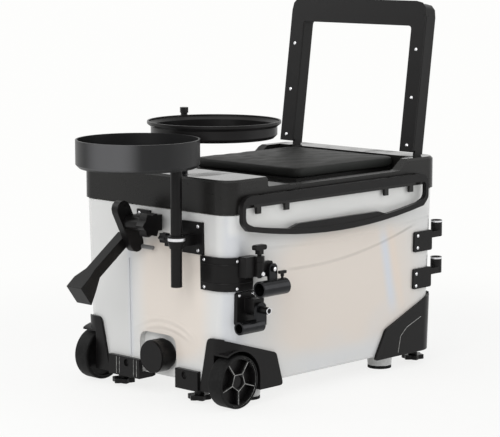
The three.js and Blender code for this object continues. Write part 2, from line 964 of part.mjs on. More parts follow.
function hub() {
  const spokeStart = -Math.PI / 2;
  const rim = wheelRadius - tyreThickness - fit;
  const reach = rim - hubRimWidth;
  const half = wheelWidth / 2;
  const face = half - hubFaceDepth;
  const disc = rodZ(rim, 0, 0, [-half, half - hubRimWidth], fineSteps);
  const dish = rodZ(reach, 0, 0, [face, half], fineSteps);
  const back = rodZ(reach, 0, 0, [-half, -face], fineSteps);
  const pockets = Array.from({ length: spokeCount }, (_, i) => {
    const middle = spokeStart + (2 * Math.PI * (i + 1 / 2)) / spokeCount;
    const spread = Math.PI / spokeCount;
    const turn = (radius, share) => {
      const shift = Math.asin(hubSpokeWidth / 2 / radius);
      const angle = middle + share * (spread - shift);
      return [radius * Math.cos(angle), radius * Math.sin(angle)];
    };
    return slabXY(softOutline([
      turn(hubCapRadius, -1),
      turn(reach, -1),
      turn(reach, -1 / 3),
      turn(reach, 1 / 3),
      turn(reach, 1),
      turn(hubCapRadius, 1),
    ]), [face - hubPocketDepth, half]);
  });
  const corners = Array.from({ length: spokeCount }, (_, i) => {
    const angle = spokeStart + (2 * Math.PI * i) / spokeCount;
    return [hubCapRadius * Math.cos(angle), hubCapRadius * Math.sin(angle), hubCapCorner];
  });
  const cap = slabXY(softOutline(corners), [face - fit, half - hubFaceDepth / 2]);
  const hollow = rodZ(hubCapHollow, 0, 0, [half - hubFaceDepth / 2 - hubCapHollowDepth, half], roundSteps);
  const bore = rodZ(axleRadius + runningFit, 0, 0, [-half - overrun, face - axleInset + fit]);
  return cut(join(cut(disc, dish, back, ...pockets), cap), hollow, bore);
}

// Corner guards and levelling feet

function cornerGuard(side) {
  const face = side * (bodySide + guardThickness - shellWall);
  const right = bodyEnd + guardThickness - shellWall;
  const sidePlate = slabXZ(softOutline([
    [guardToeX, guardBottom, guardCorner / 2],
    [right, guardBottom],
    [right, guardTop],
    [guardShoulderX, guardShoulderZ, guardCorner],
    [guardSlopeX, guardSlopeZ, guardCorner],
  ]), [side * guardLedgeY, face]);
  const endPlate = slabYZ(softOutline([
    [face, guardBottom],
    [face, guardTop, guardCorner],
    [side * (bodySide - bodyCornerRadius), guardTop, guardCorner],
    [side * guardEndInner, guardSlopeZ, guardCorner],
    [side * guardEndInner, guardBottom],
  ]), [guardEndX, right]);
  const around = cut(
    bodyBlock(guardThickness, guardBottom, guardTop + overrun),
    bodyBlock(fit, 0, lidTop),
  );
  const ledge = block(
    [guardLedgeX, bodyEnd - bodyBottomEdge - bodyCornerRadius / 4],
    [side * guardLedgeY, side * (bodySide - bodyBottomEdge - bodyCornerRadius / 4)],
    [guardBottom, bodyBottom - fit],
  );
  const bossSpan = [socketBottom, bodyBottom - fit];
  const boss = rodZ(guardBossRadius, levelX, side * levelRightY, bossSpan, roundSteps);
  const hole = rodZ(levelStudRadius + runningFit, levelX, side * levelRightY, [0, bodyBottom]);
  return cut(join(join(sidePlate, endPlate).intersect(around), ledge, boss), hole);
}

function legSocket(side, inner, outer) {
  const wallX = -bodyEnd + bodyDraftShare * (bodyTop - socketTop);
  const upright = cut(block(
    [-bodyEnd - socketPlate + shellWall, wallX + shellWall],
    [side * inner, side * outer],
    [socketBottom, socketTop],
  ), wallClear);
  const base = block(
    [-bodyEnd - socketPlate + shellWall, -socketBaseX],
    [side * inner, side * outer],
    [socketBottom, bodyBottom - fit],
  );
  const tongue = block(
    [-socketBaseX - fit, -socketInnerX],
    [side * inner, side * outer],
    [bodyBottom - fit - socketTongue, bodyBottom - fit],
  );
  const stud = rodZ(levelStudRadius + runningFit, -levelX, side * levelLeftY, [0, bodyBottom]);
  const screw = rodX(
    socketScrewRadius,
    [-bodyEnd - socketPlate - overrun, -bodyEnd - socketPlate + shellWall + socketScrewDepth],
    side * (inner + (outer - inner) * socketScrewShare),
    socketScrewZ,
  );
  return cut(join(upright, base, tongue), stud, screw);
}

function levellingFoot() {
  const knobTop = levelBottom + levelKnobHeight;
  return join(
    slabXY(lobedOutline(levelKnobRadius, levelKnobDip, levelLobes), [levelBottom, knobTop]),
    rodZ(levelHubRadius, 0, 0, [knobTop - fit, levelHubTop]),
    rodZ(levelStudRadius, 0, 0, [levelHubTop - fit, levelStudTop]),
  );
}

// Drain spigot, gasket and cap, along X from the alcove's floor outwards

const drainFlangeOut = drainFloorX + fit + drainFlangeThickness;
const drainNeckOut = drainFlangeOut + drainNeckLength;
const drainCapBack = drainFlangeOut + gasketThickness + wideFit;

function drainSpigot() {
  return cut(
    join(
      rodX(drainTubeRadius, [-drainInner, -drainFlangeOut], drainY, drainZ, roundSteps),
      rodX(drainFlangeRadius, [-drainFloorX - fit, -drainFlangeOut], drainY, drainZ, roundSteps),
      rodX(drainNeckRadius, [-drainFlangeOut + fit, -drainNeckOut], drainY, drainZ, roundSteps),
    ),
    rodX(drainBore, [-bodyLength, 0], drainY, drainZ, roundSteps),
  );
}

function drainGasket() {
  const spanX = [-drainFlangeOut - fit, -drainFlangeOut - fit - gasketThickness];
  return cut(
    rodX(drainFlangeRadius - fit, spanX, drainY, drainZ, roundSteps),
    rodX(drainNeckRadius + fit, [-bodyLength, 0], drainY, drainZ, roundSteps),
  );
}

function drainCap() {
  const out = drainCapBack + drainCapLength;
  return cut(
    join(
      rodX(drainCapRadius, [-drainCapBack, -out + drainCapEdge], drainY, drainZ, fineSteps),
      rodX(
        drainCapRadius - drainCapEdge / 2,
        [-drainCapBack - drainCapEdge, -out],
        drainY,
        drainZ,
        fineSteps,
      ),
    ),
    rodX(drainNeckRadius + runningFit, [0, -out + drainCapFloor], drainY, drainZ, roundSteps),
  );
}

// Lid

function lidBlock(inset, low, high, topEdge) {
  const ring = (z, more) => ringAt(
    lidLength / 2 - inset - more,
    lidWidth / 2 - inset - more,
    lidCornerRadius - inset - more,
    z,
  );
  return lofted([ring(low, 0), ring(high - topEdge, 0), ring(high, topEdge)]);
}

const rodY1 = -backrestOuter - backrestRodEndGap;
const farTangY = backrestOuter - backrestStripWidth;
const rodY2 = farTangY + tangThickness + backrestRodEndGap;

function lidShell() {
  const across = [-lidWidth, lidWidth];
  const high = lidTop + overrun;
  const aboveProfile = slabXZ(softOutline([
    [leftBlockX, high],
    [leftBlockX, leftDeckZ, lidTopEdge],
    [leftDeckX, leftDeckZ, lidTopEdge],
    [recessLeftX, sideRimZ, lidTopEdge],
    [rightRampX, sideRimZ, overrun],
    [rightBlockX, lidTop, lidTopEdge],
    [rightBlockX, high],
  ]), across);
  const rampCheek = slabXZ(softOutline([
    [rightBlockX - fit, lidTop],
    [rightBlockX + overrun, high],
    [rightBlockX - fit, high],
  ]), across);
  const recess = block(
    [recessLeftX, recessRightX],
    [-lidWidth / 2 + sideRimWidth, lidWidth / 2 - sideRimWidth],
    [seatDeckZ, high],
  );
  const slotEnd = backrestPivotX + tangRadius + tangStop;
  const tangSlots = [-backrestOuter, farTangY].map((y) => block(
    [recessRightX - overrun, slotEnd],
    [y - wideFit, y + tangThickness + wideFit],
    [backrestPivotZ - tangRadius - tangSlotDepth, high],
  ));
  const rodBore = rodY(backrestRodRadius + fit, backrestPivotX, [rodY1 - fit, rodY2 + fit], backrestPivotZ);
  const hollow = lidBlock(lidWall, lidBottom - overrun, lidSlabTop, fit);
  const leftHollow = block(
    [-lidLength / 2 + lidCornerRadius, leftBlockX - lidRoof],
    [-lidWidth / 2 + lidCornerRadius, lidWidth / 2 - lidCornerRadius],
    [lidBottom, lidTop - lidRoof],
  );
  const lipNotch = block(
    [bodyLipLeft - fit, bodyLipRight + fit],
    [-lidWidth / 2 - overrun, -lidWidth / 2 + lipNotchDepth],
    [lidBottom - overrun, bodyLipTop + fit],
  );
  const seatPlateau = block(
    [padLeftX + padBaseInset, padRightX - padBaseInset],
    [-padHalfWidth + padBaseInset, padHalfWidth - padBaseInset],
    [lidSlabTop, padBottom - fit],
  );
  return cut(
    lidBlock(0, lidBottom, lidTop, lidTopEdge),
    aboveProfile,
    rampCheek,
    cut(recess, seatPlateau),
    ...tangSlots,
    rodBore,
    hollow,
    leftHollow,
    lipNotch,
  );
}

function lidLiner() {
  return lidBlock(lidWall + fit, lidLinerBottom, lidLinerBottom + lidLinerThickness, fit);
}

function lidGasket() {
  const halfX = bodyEnd - linerFlangeInset - lidGasketInset;
  const halfY = bodySide - linerFlangeInset - lidGasketInset;
  const radius = bodyCornerRadius - linerFlangeInset - lidGasketInset;
  const outline = roundedRectangle(halfX, halfY, radius);
  outline.holes.push(roundedRectangle(
    halfX - lidGasketWidth,
    halfY - lidGasketWidth,
    radius - lidGasketWidth,
    THREE.Path,
  ));
  const low = bodyTop + fit + linerFlangeThickness + fit;
  return slabXY(outline, [low, lidLinerBottom - fit]);
}

// Seat pad

// The pad's top: a crown with soft wavy channels, on a grid whose sides pull in between the corners
function seatPad() {
  const middleX = (padLeftX + padRightX) / 2;
  const halfX = (padRightX - padLeftX) / 2;
  const place = (u, v, z, inset) => {
    const corner = padCornerPull * Math.abs(u * v) ** 8;
    const drawX = padDrawIn * (1 - v * v) * Math.abs(u) ** 3;
    const drawY = padDrawIn * (1 - u * u) * Math.abs(v) ** 3;
    return [
      middleX + u * (halfX - inset) - Math.sign(u) * (corner + drawX),
      v * (padHalfWidth - inset) - Math.sign(v) * (corner + drawY),
      z,
    ];
  };
  const topHeight = (u, v) => {
    const [x, y] = place(u, v, 0, 0);
    const edge = (1 - u ** 6) * (1 - v ** 6);
    const wave = y + padChannelSwing * Math.sin((2 * Math.PI * x) / padChannelWave);
    const groove = (0.5 + 0.5 * Math.cos((2 * Math.PI * wave) / padChannelPitch)) ** 3;
    return padTop + edge * (padCrown * (1 - u * u) * (1 - v * v) + padCrown / 4 - padChannelDepth * groove);
  };
  const positions = [];
  const triangles = [];
  const columns = padColumns + 1;
  for (let j = 0; j <= padRows; j += 1) {
    for (let i = 0; i <= padColumns; i += 1) {
      const u = (2 * i) / padColumns - 1;
      const v = (2 * j) / padRows - 1;
      positions.push(...place(u, v, topHeight(u, v), padBulge));
      if (i < padColumns && j < padRows) {
        const a = j * columns + i;
        triangles.push(a, a + 1, a + columns + 1, a, a + columns + 1, a + columns);
      }
    }
  }
  const rim = [];
  for (let i = 0; i < padColumns; i += 1) rim.push([i, 0]);
  for (let j = 0; j < padRows; j += 1) rim.push([padColumns, j]);
  for (let i = padColumns; i > 0; i -= 1) rim.push([i, padRows]);
  for (let j = padRows; j > 0; j -= 1) rim.push([0, j]);
  const levels = [
    { z: (2 * padTop + padBottom) / 3, inset: 0 },
    { z: (padTop + 2 * padBottom) / 3, inset: 0 },
    { z: padBottom, inset: padBulge },
  ];
  let above = rim.map(([i, j]) => j * columns + i);
  levels.forEach(({ z, inset }) => {
    const start = positions.length / 3;
    rim.forEach(([i, j]) => {
      positions.push(...place((2 * i) / padColumns - 1, (2 * j) / padRows - 1, z, inset));
    });
    rim.forEach((_, k) => {
      const next = (k + 1) % rim.length;
      triangles.push(start + k, start + next, above[next], start + k, above[next], above[k]);
    });
    above = rim.map((_, k) => start + k);
  });
  const centre = positions.length / 3;
  positions.push(middleX, 0, padBottom);
  above.forEach((point, k) => triangles.push(centre, above[(k + 1) % above.length], point));
  const geometry = new THREE.BufferGeometry();
  geometry.setAttribute("position", new THREE.Float32BufferAttribute(positions, 3));
  geometry.setIndex(triangles);
  return solidOf(geometry);
}

// Hinge: a leaf with three knuckles on the body, one with two on the lid, and a pin through all five

function hingeLeaf(onLid) {
  const wall = onLid ? lidWidth / 2 : bodySide;
  const near = wall + fit;
  const far = wall + fit + hingeLeafThickness;
  const gap = hingeKnuckleRadius + fit;
  const spanZ = onLid
    ? [hingeAxisZ + gap, hingeAxisZ + hingeLeafHeight]
    : [hingeAxisZ - hingeLeafHeight, hingeAxisZ - gap];
  const leafBlock = block([-hingeHalfLength, hingeHalfLength], [near - overrun, far], spanZ);
  const leaf = onLid
    ? cut(leafBlock, block([-lidLength, lidLength], [0, near], [0, lidTop]))
    : cut(leafBlock, wallClear);
  const pitch = (2 * hingeHalfLength) / hingeKnuckles;
  const mine = Array.from({ length: hingeKnuckles }, (_, i) => i).filter((i) => (i % 2 === 1) === onLid);
  const knuckles = mine.flatMap((i) => {
    const spanX = [-hingeHalfLength + i * pitch + fit, -hingeHalfLength + (i + 1) * pitch - fit];
    const way = onLid ? 1 : -1;
    const linkZ = [hingeAxisZ + (way * hingeKnuckleRadius) / 2, hingeAxisZ + way * (gap + fit)];
    return [
      rodX(hingeKnuckleRadius, spanX, hingeAxisY, hingeAxisZ),
      block(spanX, [near, hingeAxisY - hingeKnuckleRadius / 2], linkZ),
    ];
  });
  return cut(
    join(leaf, ...knuckles),
    rodX(hingePinRadius + fit, [-lidLength, lidLength], hingeAxisY, hingeAxisZ),
  );
}

function hingePin() {
  return rodX(hingePinRadius, [-hingeHalfLength, hingeHalfLength], hingeAxisY, hingeAxisZ);
}

// Handle ring, its rail with four tabs, and its rod

const handleFront = handleBack + handleThickness;
const handlePivotY = -(handleBack + handlePivotDepth);
const handleBowSteps = 12;

// Points along a bowed line, lowest in the middle and as high as its ends where the half length is reached
function bowed(low, ends, half, from = -half, to = half) {
  return Array.from({ length: handleBowSteps + 1 }, (_, i) => {
    const x = from + ((to - from) * i) / handleBowSteps;
    return [handleMiddleX + x, low + (ends - low) * (x / half) ** 2];
  });
}

function carryHandle() {
  const left = handleMiddleX - handleHalfLength;
  const right = handleMiddleX + handleHalfLength;
  const outline = softOutline([
    [right, handleBarTop, handleOuterCorner],
    [left, handleBarTop, handleOuterCorner],
    [left, handleSideBottom, handleInnerCorner],
    ...bowed(handleBow, handleSideBottom - handleInnerCorner, handleHalfLength - handleInnerCorner),
    [right, handleSideBottom, handleInnerCorner],
  ]);
  const windowLeft = handleMiddleX - handleWindowHalf;
  const windowRight = handleMiddleX + handleWindowHalf;
  const grip = handleGripHalf + handleGripRamp;
  const line = [handleWindowBow, handleWindowCornerZ, handleWindowCornerX];
  outline.holes.push(softOutline([
    [windowLeft, handleBarBottom, handleWindowCorner],
    [windowLeft, handleWindowCornerZ + handleWindowCorner, handleInnerCorner],
    ...bowed(...line, -handleWindowCornerX, -grip),
    [handleMiddleX - handleGripHalf, handleGripZ],
    [handleMiddleX + handleGripHalf, handleGripZ],
    ...bowed(...line, grip, handleWindowCornerX),
    [windowRight, handleWindowCornerZ + handleWindowCorner, handleInnerCorner],
    [windowRight, handleBarBottom, handleWindowCorner],
  ], THREE.Path));
  const gripStep = slabXZ(
    softOutline([
      ...bowed(...line, -grip, grip),
      [handleMiddleX + grip, handleGripZ + handleInnerCorner],
      [handleMiddleX - grip, handleGripZ + handleInnerCorner],
    ]),
    [-handleFront - overrun, -handleFront + handleGripStep],
  );
  const notches = handleTabX.map((x) => block(
    [x - handleTabWidth / 2 - fit, x + handleTabWidth / 2 + fit],
    [-handleFront + handleSkin, -handleBack + overrun],
    [handlePivotZ - handleEyeRadius - fit, handleBarTop + overrun],
  ));
  const spanX = [handleTabX[0] - overrun, handleTabX[3] + overrun];
  return cut(
    slabXZ(outline, [-handleFront, -handleBack]),
    gripStep,
    ...notches,
    rodX(handleRodRadius + fit, spanX, handlePivotY, handlePivotZ),
  );
}

function handleRail() {
  const wall = lidWidth / 2 + fit;
  const spanY = [-wall, -handleBack + fit];
  const end = handleTabWidth / 2 + handleRailEnd;
  const rail = block([handleTabX[0] - end, handleTabX[3] + end], spanY, [handleRailBottom, handleRailTop]);
  const eyeSpan = [handlePivotZ - handleEyeRadius / 2, handlePivotZ + handleEyeRadius / 2];
  const tabs = handleTabX.flatMap((x) => {
    const spanX = [x - handleTabWidth / 2, x + handleTabWidth / 2];
    return [
      block(spanX, spanY, [handleTabBottom, handlePivotZ]),
      block(spanX, [-wall, handlePivotY], eyeSpan),
      rodX(handleEyeRadius, spanX, handlePivotY, handlePivotZ),
    ];
  });
  return cut(
    join(rail, ...tabs),
    rodX(handleRodRadius + fit, [-lidLength, lidLength], handlePivotY, handlePivotZ),
  );
}

function handleRod() {
  const spanX = [handleTabX[0] - overrun + fit, handleTabX[3] + overrun - fit];
  return rodX(handleRodRadius, spanX, handlePivotY, handlePivotZ);
}

// Backrest, drawn upright about its pivot and leaned with its group

function archShape(outer, strip, low, windowTop, high) {
  return softOutline([
    [-outer, low],
    [-outer, high, backrestOuterCorner],
    [outer, high, backrestOuterCorner],
    [outer, low],
    [outer - strip, low],
    [outer - strip, windowTop, backrestInnerCorner],
    [-outer + strip, windowTop, backrestInnerCorner],
    [-outer + strip, low],
  ]);
}

function backrestFrame() {
  const front = -backrestFrontFace + backrestFacing + fit;
  const back = front + backrestDepth;
  const arch = slabYZ(
    archShape(backrestOuter, backrestStripWidth, backrestFoot, backrestWindowTop, backrestTop),
    [front, back],
  );
  const tangs = [-backrestOuter, farTangY].flatMap((y) => {
    const span = [y, y + tangThickness];
    return [
      block([-tangRadius, back], span, [0, backrestFoot + fit]),
      rodY(tangRadius, 0, span, 0, roundSteps),
    ];
  });
  const rodHole = rodY(backrestRodRadius + fit, 0, [-bodyWidth, bodyWidth], 0);
  const heel = block([tangRadius, back + overrun], [-bodyWidth, bodyWidth], [-overrun, backrestHeel]);
  return cut(join(arch, ...tangs), rodHole, heel);
}

function backrestFacingPlate() {
  return slabYZ(
    archShape(
      backrestOuter,
      backrestStripWidth,
      backrestFoot - backrestFacing,
      backrestWindowTop - backrestFacing,
      backrestTop + backrestFacing,
    ),
    [-backrestFrontFace, -backrestFrontFace + backrestFacing],
  );
}

function backrestRod() {
  return rodY(backrestRodRadius, backrestPivotX, [rodY1, rodY2], backrestPivotZ);
}

// Lower tray, its post and clamp

function bowlProfile(radius, bottom, top) {
  return [
    [0, bottom],
    [radius - trayEdge, bottom],
    [radius, bottom + trayEdge],
    [radius, top],
    [radius - trayWall, top],
    [radius - trayWall, bottom + trayEdge],
    [radius - trayEdge, bottom + trayWall],
    [0, bottom + trayWall],
  ];
}

const postTop = lowerTrayBottom - fit;

function lowerTray() {
  const bowl = turnedZ(
    bowlProfile(lowerTrayRadius, lowerTrayBottom, lowerTrayTop),
    lowerTrayX,
    lowerTrayY,
    traySteps,
  );
  const boss = cut(
    rodZ(trayBossRadius, postX, postY, [lowerTrayBottom - trayBossDrop, lowerTrayBottom + fit], roundSteps),
    rodZ(postRadius + fit, postX, postY, [0, lowerTrayBottom], roundSteps),
  );
  return join(bowl, boss);
}

function trayPost() {
  return rodZ(postRadius, postX, postY, [postBottom, postTop], roundSteps);
}

function trayBracket() {
  const plate = cut(block(
    [-bodyEnd - clampPlateThickness, -bodyEnd + bodyCornerRadius],
    [clampNear, clampFar],
    [clampPlateBottom, clampPlateTop],
  ), wallClear);
  const arm = block(
    [postX, -bodyEnd - clampPlateThickness + fit],
    [postY - clampArmHalf, postY + clampArmHalf],
    [clampRingBottom, clampRingTop],
  );
  const foot = [clampRingFootZ, clampRingWaistZ];
  const ring = join(
    rodZ(clampRingFoot, postX, postY, foot, roundSteps, clampRingRadius),
    rodZ(clampRingRadius, postX, postY, [clampRingWaistZ, clampRingTop], roundSteps),
  );
  const boss = block(
    [postX - clampBossHalf, postX + clampBossHalf],
    [postY, postY + clampRingRadius + clampBossLength],
    [clampRingBottom + fit, clampRingTop - fit],
  );
  return cut(
    join(plate, arm, ring, boss),
    rodZ(postRadius + fit, postX, postY, [0, lidTop], roundSteps),
    rodY(clampScrewRadius + fit, postX, [postY, 0], clampKnobZ),
  );
}

function postClampKnob() {
  const face = postY + clampRingRadius + clampBossLength + fit;
  const outline = lobedOutline(clampKnobRadius, clampKnobDip, levelLobes, postX, clampKnobZ);
  return join(
    slabXZ(outline, [face, face + clampKnobLength]),
    rodY(clampScrewRadius, postX, [postY + postRadius + fit, face + fit], clampKnobZ),
  );
}

// Upper tray with its post on the lid

function upperTray() {
  const [rim, wall] = [upperTrayRim, upperTrayWall];
  const bowl = turnedZ([
    [0, upperTrayBottom],
    [wall - trayEdge, upperTrayBottom],
    [wall, upperTrayBottom + trayEdge],
    [wall, upperTrayFlare],
    [rim, upperTrayRimLow],
    [rim, upperTrayTop],
    [rim - trayWall, upperTrayTop],
    [rim - trayWall, upperTrayRimLow + trayWall / 2],
    [wall - trayWall, upperTrayFlare + trayWall / 2],
    [wall - trayWall, upperTrayBottom + trayEdge],
    [wall - trayEdge, upperTrayBottom + trayWall],
    [0, upperTrayBottom + trayWall],
  ], upperTrayX, upperTrayY, traySteps);
  const spanZ = [upperLugBottom, upperLugTop];
  const angle = Math.atan2(upperPostY - upperTrayY, upperPostX - upperTrayX);
  const reach = Math.hypot(upperPostY - upperTrayY, upperPostX - upperTrayX);
  const [low, high] = spanZ;
  const arm = new THREE.BoxGeometry(reach - wall + trayWall / 2, 2 * upperLugArmHalf, high - low);
  arm.translate((reach + wall - trayWall / 2) / 2, 0, (low + high) / 2).rotateZ(angle);
  arm.translate(upperTrayX, upperTrayY, 0);
  const lug = rodZ(upperLugRadius, upperPostX, upperPostY, spanZ, roundSteps);
  const bore = rodZ(upperPostRadius + fit, upperPostX, upperPostY, [0, upperTrayTop + overrun], roundSteps);
  return cut(join(bowl, solidOf(arm), lug), bore);
}

function upperTrayPost() {
  const base = leftDeckZ + fit;
  const collarTop = upperLugBottom - fit;
  const collarSpan = [collarTop - upperCollarHeight, collarTop];
  const stemHole = [upperPostTop - upperKnobStemLength, upperPostTop + overrun];
  return cut(
    join(
      rodZ(upperPostFoot, upperPostX, upperPostY, [base, base + upperPostFootHeight], roundSteps),
      rodZ(upperPostRadius, upperPostX, upperPostY, [base, upperPostTop], roundSteps),
      rodZ(upperCollarRadius, upperPostX, upperPostY, collarSpan, roundSteps),
    ),
    rodZ(upperKnobStem + fit, upperPostX, upperPostY, stemHole),
  );
}

function upperTrayKnob() {
  const low = upperPostTop + fit;
  const outline = lobedOutline(upperKnobRadius, clampKnobDip / 2, levelLobes, upperPostX, upperPostY);
  return join(
    rodZ(upperPostRadius - fit, upperPostX, upperPostY, [low, low + upperKnobNeck + fit], roundSteps),
    slabXY(outline, [low + upperKnobNeck, low + upperKnobNeck + upperKnobHeight]),
    rodZ(upperKnobStem, upperPostX, upperPostY, [upperPostTop - upperKnobStemLength + fit, low + fit]),
  );
}

// Corner bracket and upper rod rest

// The bracket wraps the corner and carries a fork of two eyes
function cornerBracket() {
  const wrap = cut(bodyBlock(bracketThickness, bracketBottom, bracketTop), wallClear).intersect(block(
    [-bodyLength, bracketRightX],
    [-bodyWidth, bracketEndY],
    [bracketBottom, bracketTop],
  ));
  const wall = bodySide + bracketThickness / 2;
  const near = wall - bracketThickness / 2 + restBlockDepth + bracketThickness;
  const body = block([restBlockLeft, restBlockRight], [-wall, -near], [restBlockBottom, restBlockTop]);
  const eyes = [
    [restBlockBottom, restBlockBottom + restEyeHeight],
    [restBlockTop - restEyeHeight, restBlockTop],
  ].flatMap((spanZ) => [
    rodZ(restEyeRadius, restAxisX, restAxisY, spanZ, roundSteps),
    block([restBlockRight - fit, restAxisX], [-wall, -near], spanZ),
  ]);
  const stem = rodZ(restStemRadius + fit, restAxisX, restAxisY, [0, lidTop]);
  return cut(join(wrap, cut(join(body, ...eyes), wallClear)), stem);
}

const restEarFar = restPlateNear + fit;
const restEarNear = restEarFar + restEarThickness;

// The yoke turns between the fork's eyes and holds the tilt pin
function restYoke() {
  const low = restBlockBottom + restEyeHeight + fit;
  const high = restBlockTop - restEyeHeight - fit;
  const eye = rodZ(restEyeRadius, restAxisX, restAxisY, [low, high], roundSteps);
  const arm = block([restAxisX, restLugLeft + fit], [-restPlateNear, -restPlateFar], [low, high]);
  const plate = slabXZ(softOutline([
    [restLugLeft, restPlateBottom, restPinHead],
    [restLugRight, restPlateBottom, restPinHead],
    [restLugRight, restPlateTop, restPinHead],
    [restLugLeft, restPlateTop, restPinHead],
  ]), [-restPlateNear, -restPlateFar]);
  const pin = join(
    rodY(restPinRadius, restPinX, [-restEarNear - wideFit, -restPlateNear + fit], restPinZ),
    rodY(restPinHead, restPinX, [-restEarNear - fit, -restEarNear - restPinRadius], restPinZ),
  );
  return cut(
    join(eye, arm, plate, pin),
    rodZ(restStemRadius + fit, restAxisX, restAxisY, [0, lidTop]),
  );
}

function upperRodTube() {
  const tube = rodX(restTubeRadius, [restTubeLeft, restTubeRight], restTubeY, restTubeZ, roundSteps);
  const ear = slabXZ(softOutline([
    [restPinX - restEarHalf, restTubeZ],
    [restPinX + restEarHalf, restTubeZ],
    [restPinX + restEarHalf, restPinZ + restEarHalf, restEarHalf],
    [restPinX - restEarHalf, restPinZ + restEarHalf, restEarHalf],
  ]), [-restEarNear, -restEarFar]);
  const boreSpan = [restTubeLeft - overrun, restTubeLeft + restTubeBoreDepth];
  return cut(
    join(tube, ear),
    rodX(restTubeBore, boreSpan, restTubeY, restTubeZ, roundSteps),
    rodY(restPinRadius + fit, restPinX, [-bodyWidth, 0], restPinZ),
    rodZ(wingStemRadius + fit, wingX, restTubeY, [restTubeZ, restTubeZ + restTubeRadius + overrun]),
  );
}

// A turning head with a bar across a straight neck
function wingHead(half, thickness, low, high) {
  const barLow = high - (high - low) * wingBarShare;
  return softOutline([
    [-thickness / 2, low],
    [thickness / 2, low],
    [thickness / 2, barLow],
    [half, barLow, thickness / 2],
    [half, high, thickness / 2],
    [-half, high, thickness / 2],
    [-half, barLow, thickness / 2],
    [-thickness / 2, barLow],
  ]);
}

function wingScrew(x, y, stemRadius, stemSpan, half, thickness, headSpan) {
  const [low, high] = headSpan;
  const head = extruded(wingHead(half, thickness, low, high), thickness)
    .rotateX(Math.PI / 2)
    .translate(x, y + thickness / 2, 0);
  return join(solidOf(head), rodZ(stemRadius, x, y, stemSpan));
}

function upperTKnob() {
  return wingScrew(
    restAxisX,
    restAxisY,
    restStemRadius,
    [restStemBottom, restKnobBottom + restPinHead],
    restKnobHalf,
    restKnobThickness,
    [restKnobBottom, restKnobTop],
  );
}

function upperWingScrew() {
  const top = restTubeZ + restTubeRadius;
  return wingScrew(
    wingX,
    restTubeY,
    wingStemRadius,
    [restTubeZ + restTubeBore + fit, top + wingStemLength + wingStemRadius],
    wingHalf,
    wingThickness,
    [top + wingStemLength / 2, top + wingStemLength + wingHeight],
  );
}

// Lower rod rest

function lowerRestPlate() {
  const near = bodySide + jawPlateThickness - bodyDraftShare * (bodyTop - jawPlateTop);
  const plate = cut(slabXZ(softOutline([
    [jawPlateLeft, jawPlateBottom, jawPlateThickness],
    [jawPlateRight, jawPlateBottom, jawPlateThickness],
    [jawPlateRight, jawPlateTop, jawPlateThickness],
    [jawPlateLeft, jawPlateTop, jawPlateThickness],
  ]), [-near, -bodySide + bodyCornerRadius]), wallClear);
  const outline = new THREE.Shape();
  outline.moveTo(jawAxisX + jawRadius, jawAxisZ);
  outline.lineTo(jawAxisX + jawRadius, jawTop);
  outline.lineTo(jawAxisX - jawRadius, jawTop);
  outline.lineTo(jawAxisX - jawRadius, jawAxisZ);
  outline.absarc(jawAxisX, jawAxisZ, jawRadius, Math.PI, 2 * Math.PI);
  return cut(
    join(plate, slabXZ(outline, [-jawFace, -near + fit])),
    rodY(jawStemRadius + fit, jawAxisX, [-bodyWidth, -near - fit], jawAxisZ),
  );
}

function lowerRodTube() {
  const tube = rodX(jawTubeRadius, [jawTubeLeft, jawTubeRight], jawTubeY, jawTubeZ, roundSteps);
  const span = [-jawFace - fit - jawEarThickness, -jawFace - fit];
  const ear = slabXZ(softOutline([
    [jawAxisX - jawRadius, jawTubeZ],
    [jawAxisX + jawRadius - fit, jawTubeZ],
    [jawAxisX + jawRadius - fit, jawAxisZ + jawRadius, jawRadius],
    [jawAxisX - jawRadius, jawAxisZ + jawRadius, jawRadius],
  ]), span);
  const boreSpan = [jawTubeLeft - overrun, jawTubeLeft + jawTubeBoreDepth];
  return cut(
    join(tube, ear),
    rodX(jawTubeBore, boreSpan, jawTubeY, jawTubeZ, roundSteps),
    rodY(jawStemRadius + fit, jawAxisX, [-bodyWidth, 0], jawAxisZ),
  );
}

function lowerClampPin() {
  const head = jawFace + jawEarThickness + wideFit;
  const wall = bodySide + jawPlateThickness + wideFit;
  return join(
    rodY(jawPinRadius, jawAxisX, [-jawPinTip, -head], jawAxisZ, roundSteps),
    rodY(jawStemRadius, jawAxisX, [-head - fit, -wall], jawAxisZ),
  );
}

// Pole clips

function poleClip(bottom) {
  const near = bodySide + clipPlateThickness - bodyDraftShare * (bodyTop - bottom - clipPlateHeight);
  const top = bottom + clipPlateHeight;
  const plate = slabXZ(softOutline([
    [clipPlateLeft, bottom, clipPlateThickness],
    [clipPlateRight, bottom, clipPlateThickness],
    [clipPlateRight, top, clipPlateThickness],
    [clipPlateLeft, top, clipPlateThickness],
  ]), [-near, -bodySide + bodyCornerRadius]);
  const tubeSpan = [bottom + clipTubeRise, bottom + clipTubeRise + clipTubeLength];
  const tube = rodZ(clipOuterRadius, clipAxisX, clipAxisY, tubeSpan, roundSteps);
  const link = block(
    [clipPlateRight - clipPlateThickness, clipAxisX],
    [-near, -near + clipPlateThickness],
    [bottom + clipTubeRise, top - clipPlateThickness],
  );
  return cut(
    join(plate, tube, link),
    wallClear,
    rodZ(clipBore, clipAxisX, clipAxisY, [0, lidTop], roundSteps),
  );
}

// Rod cradle: bracket, head, arm, knob and index pin

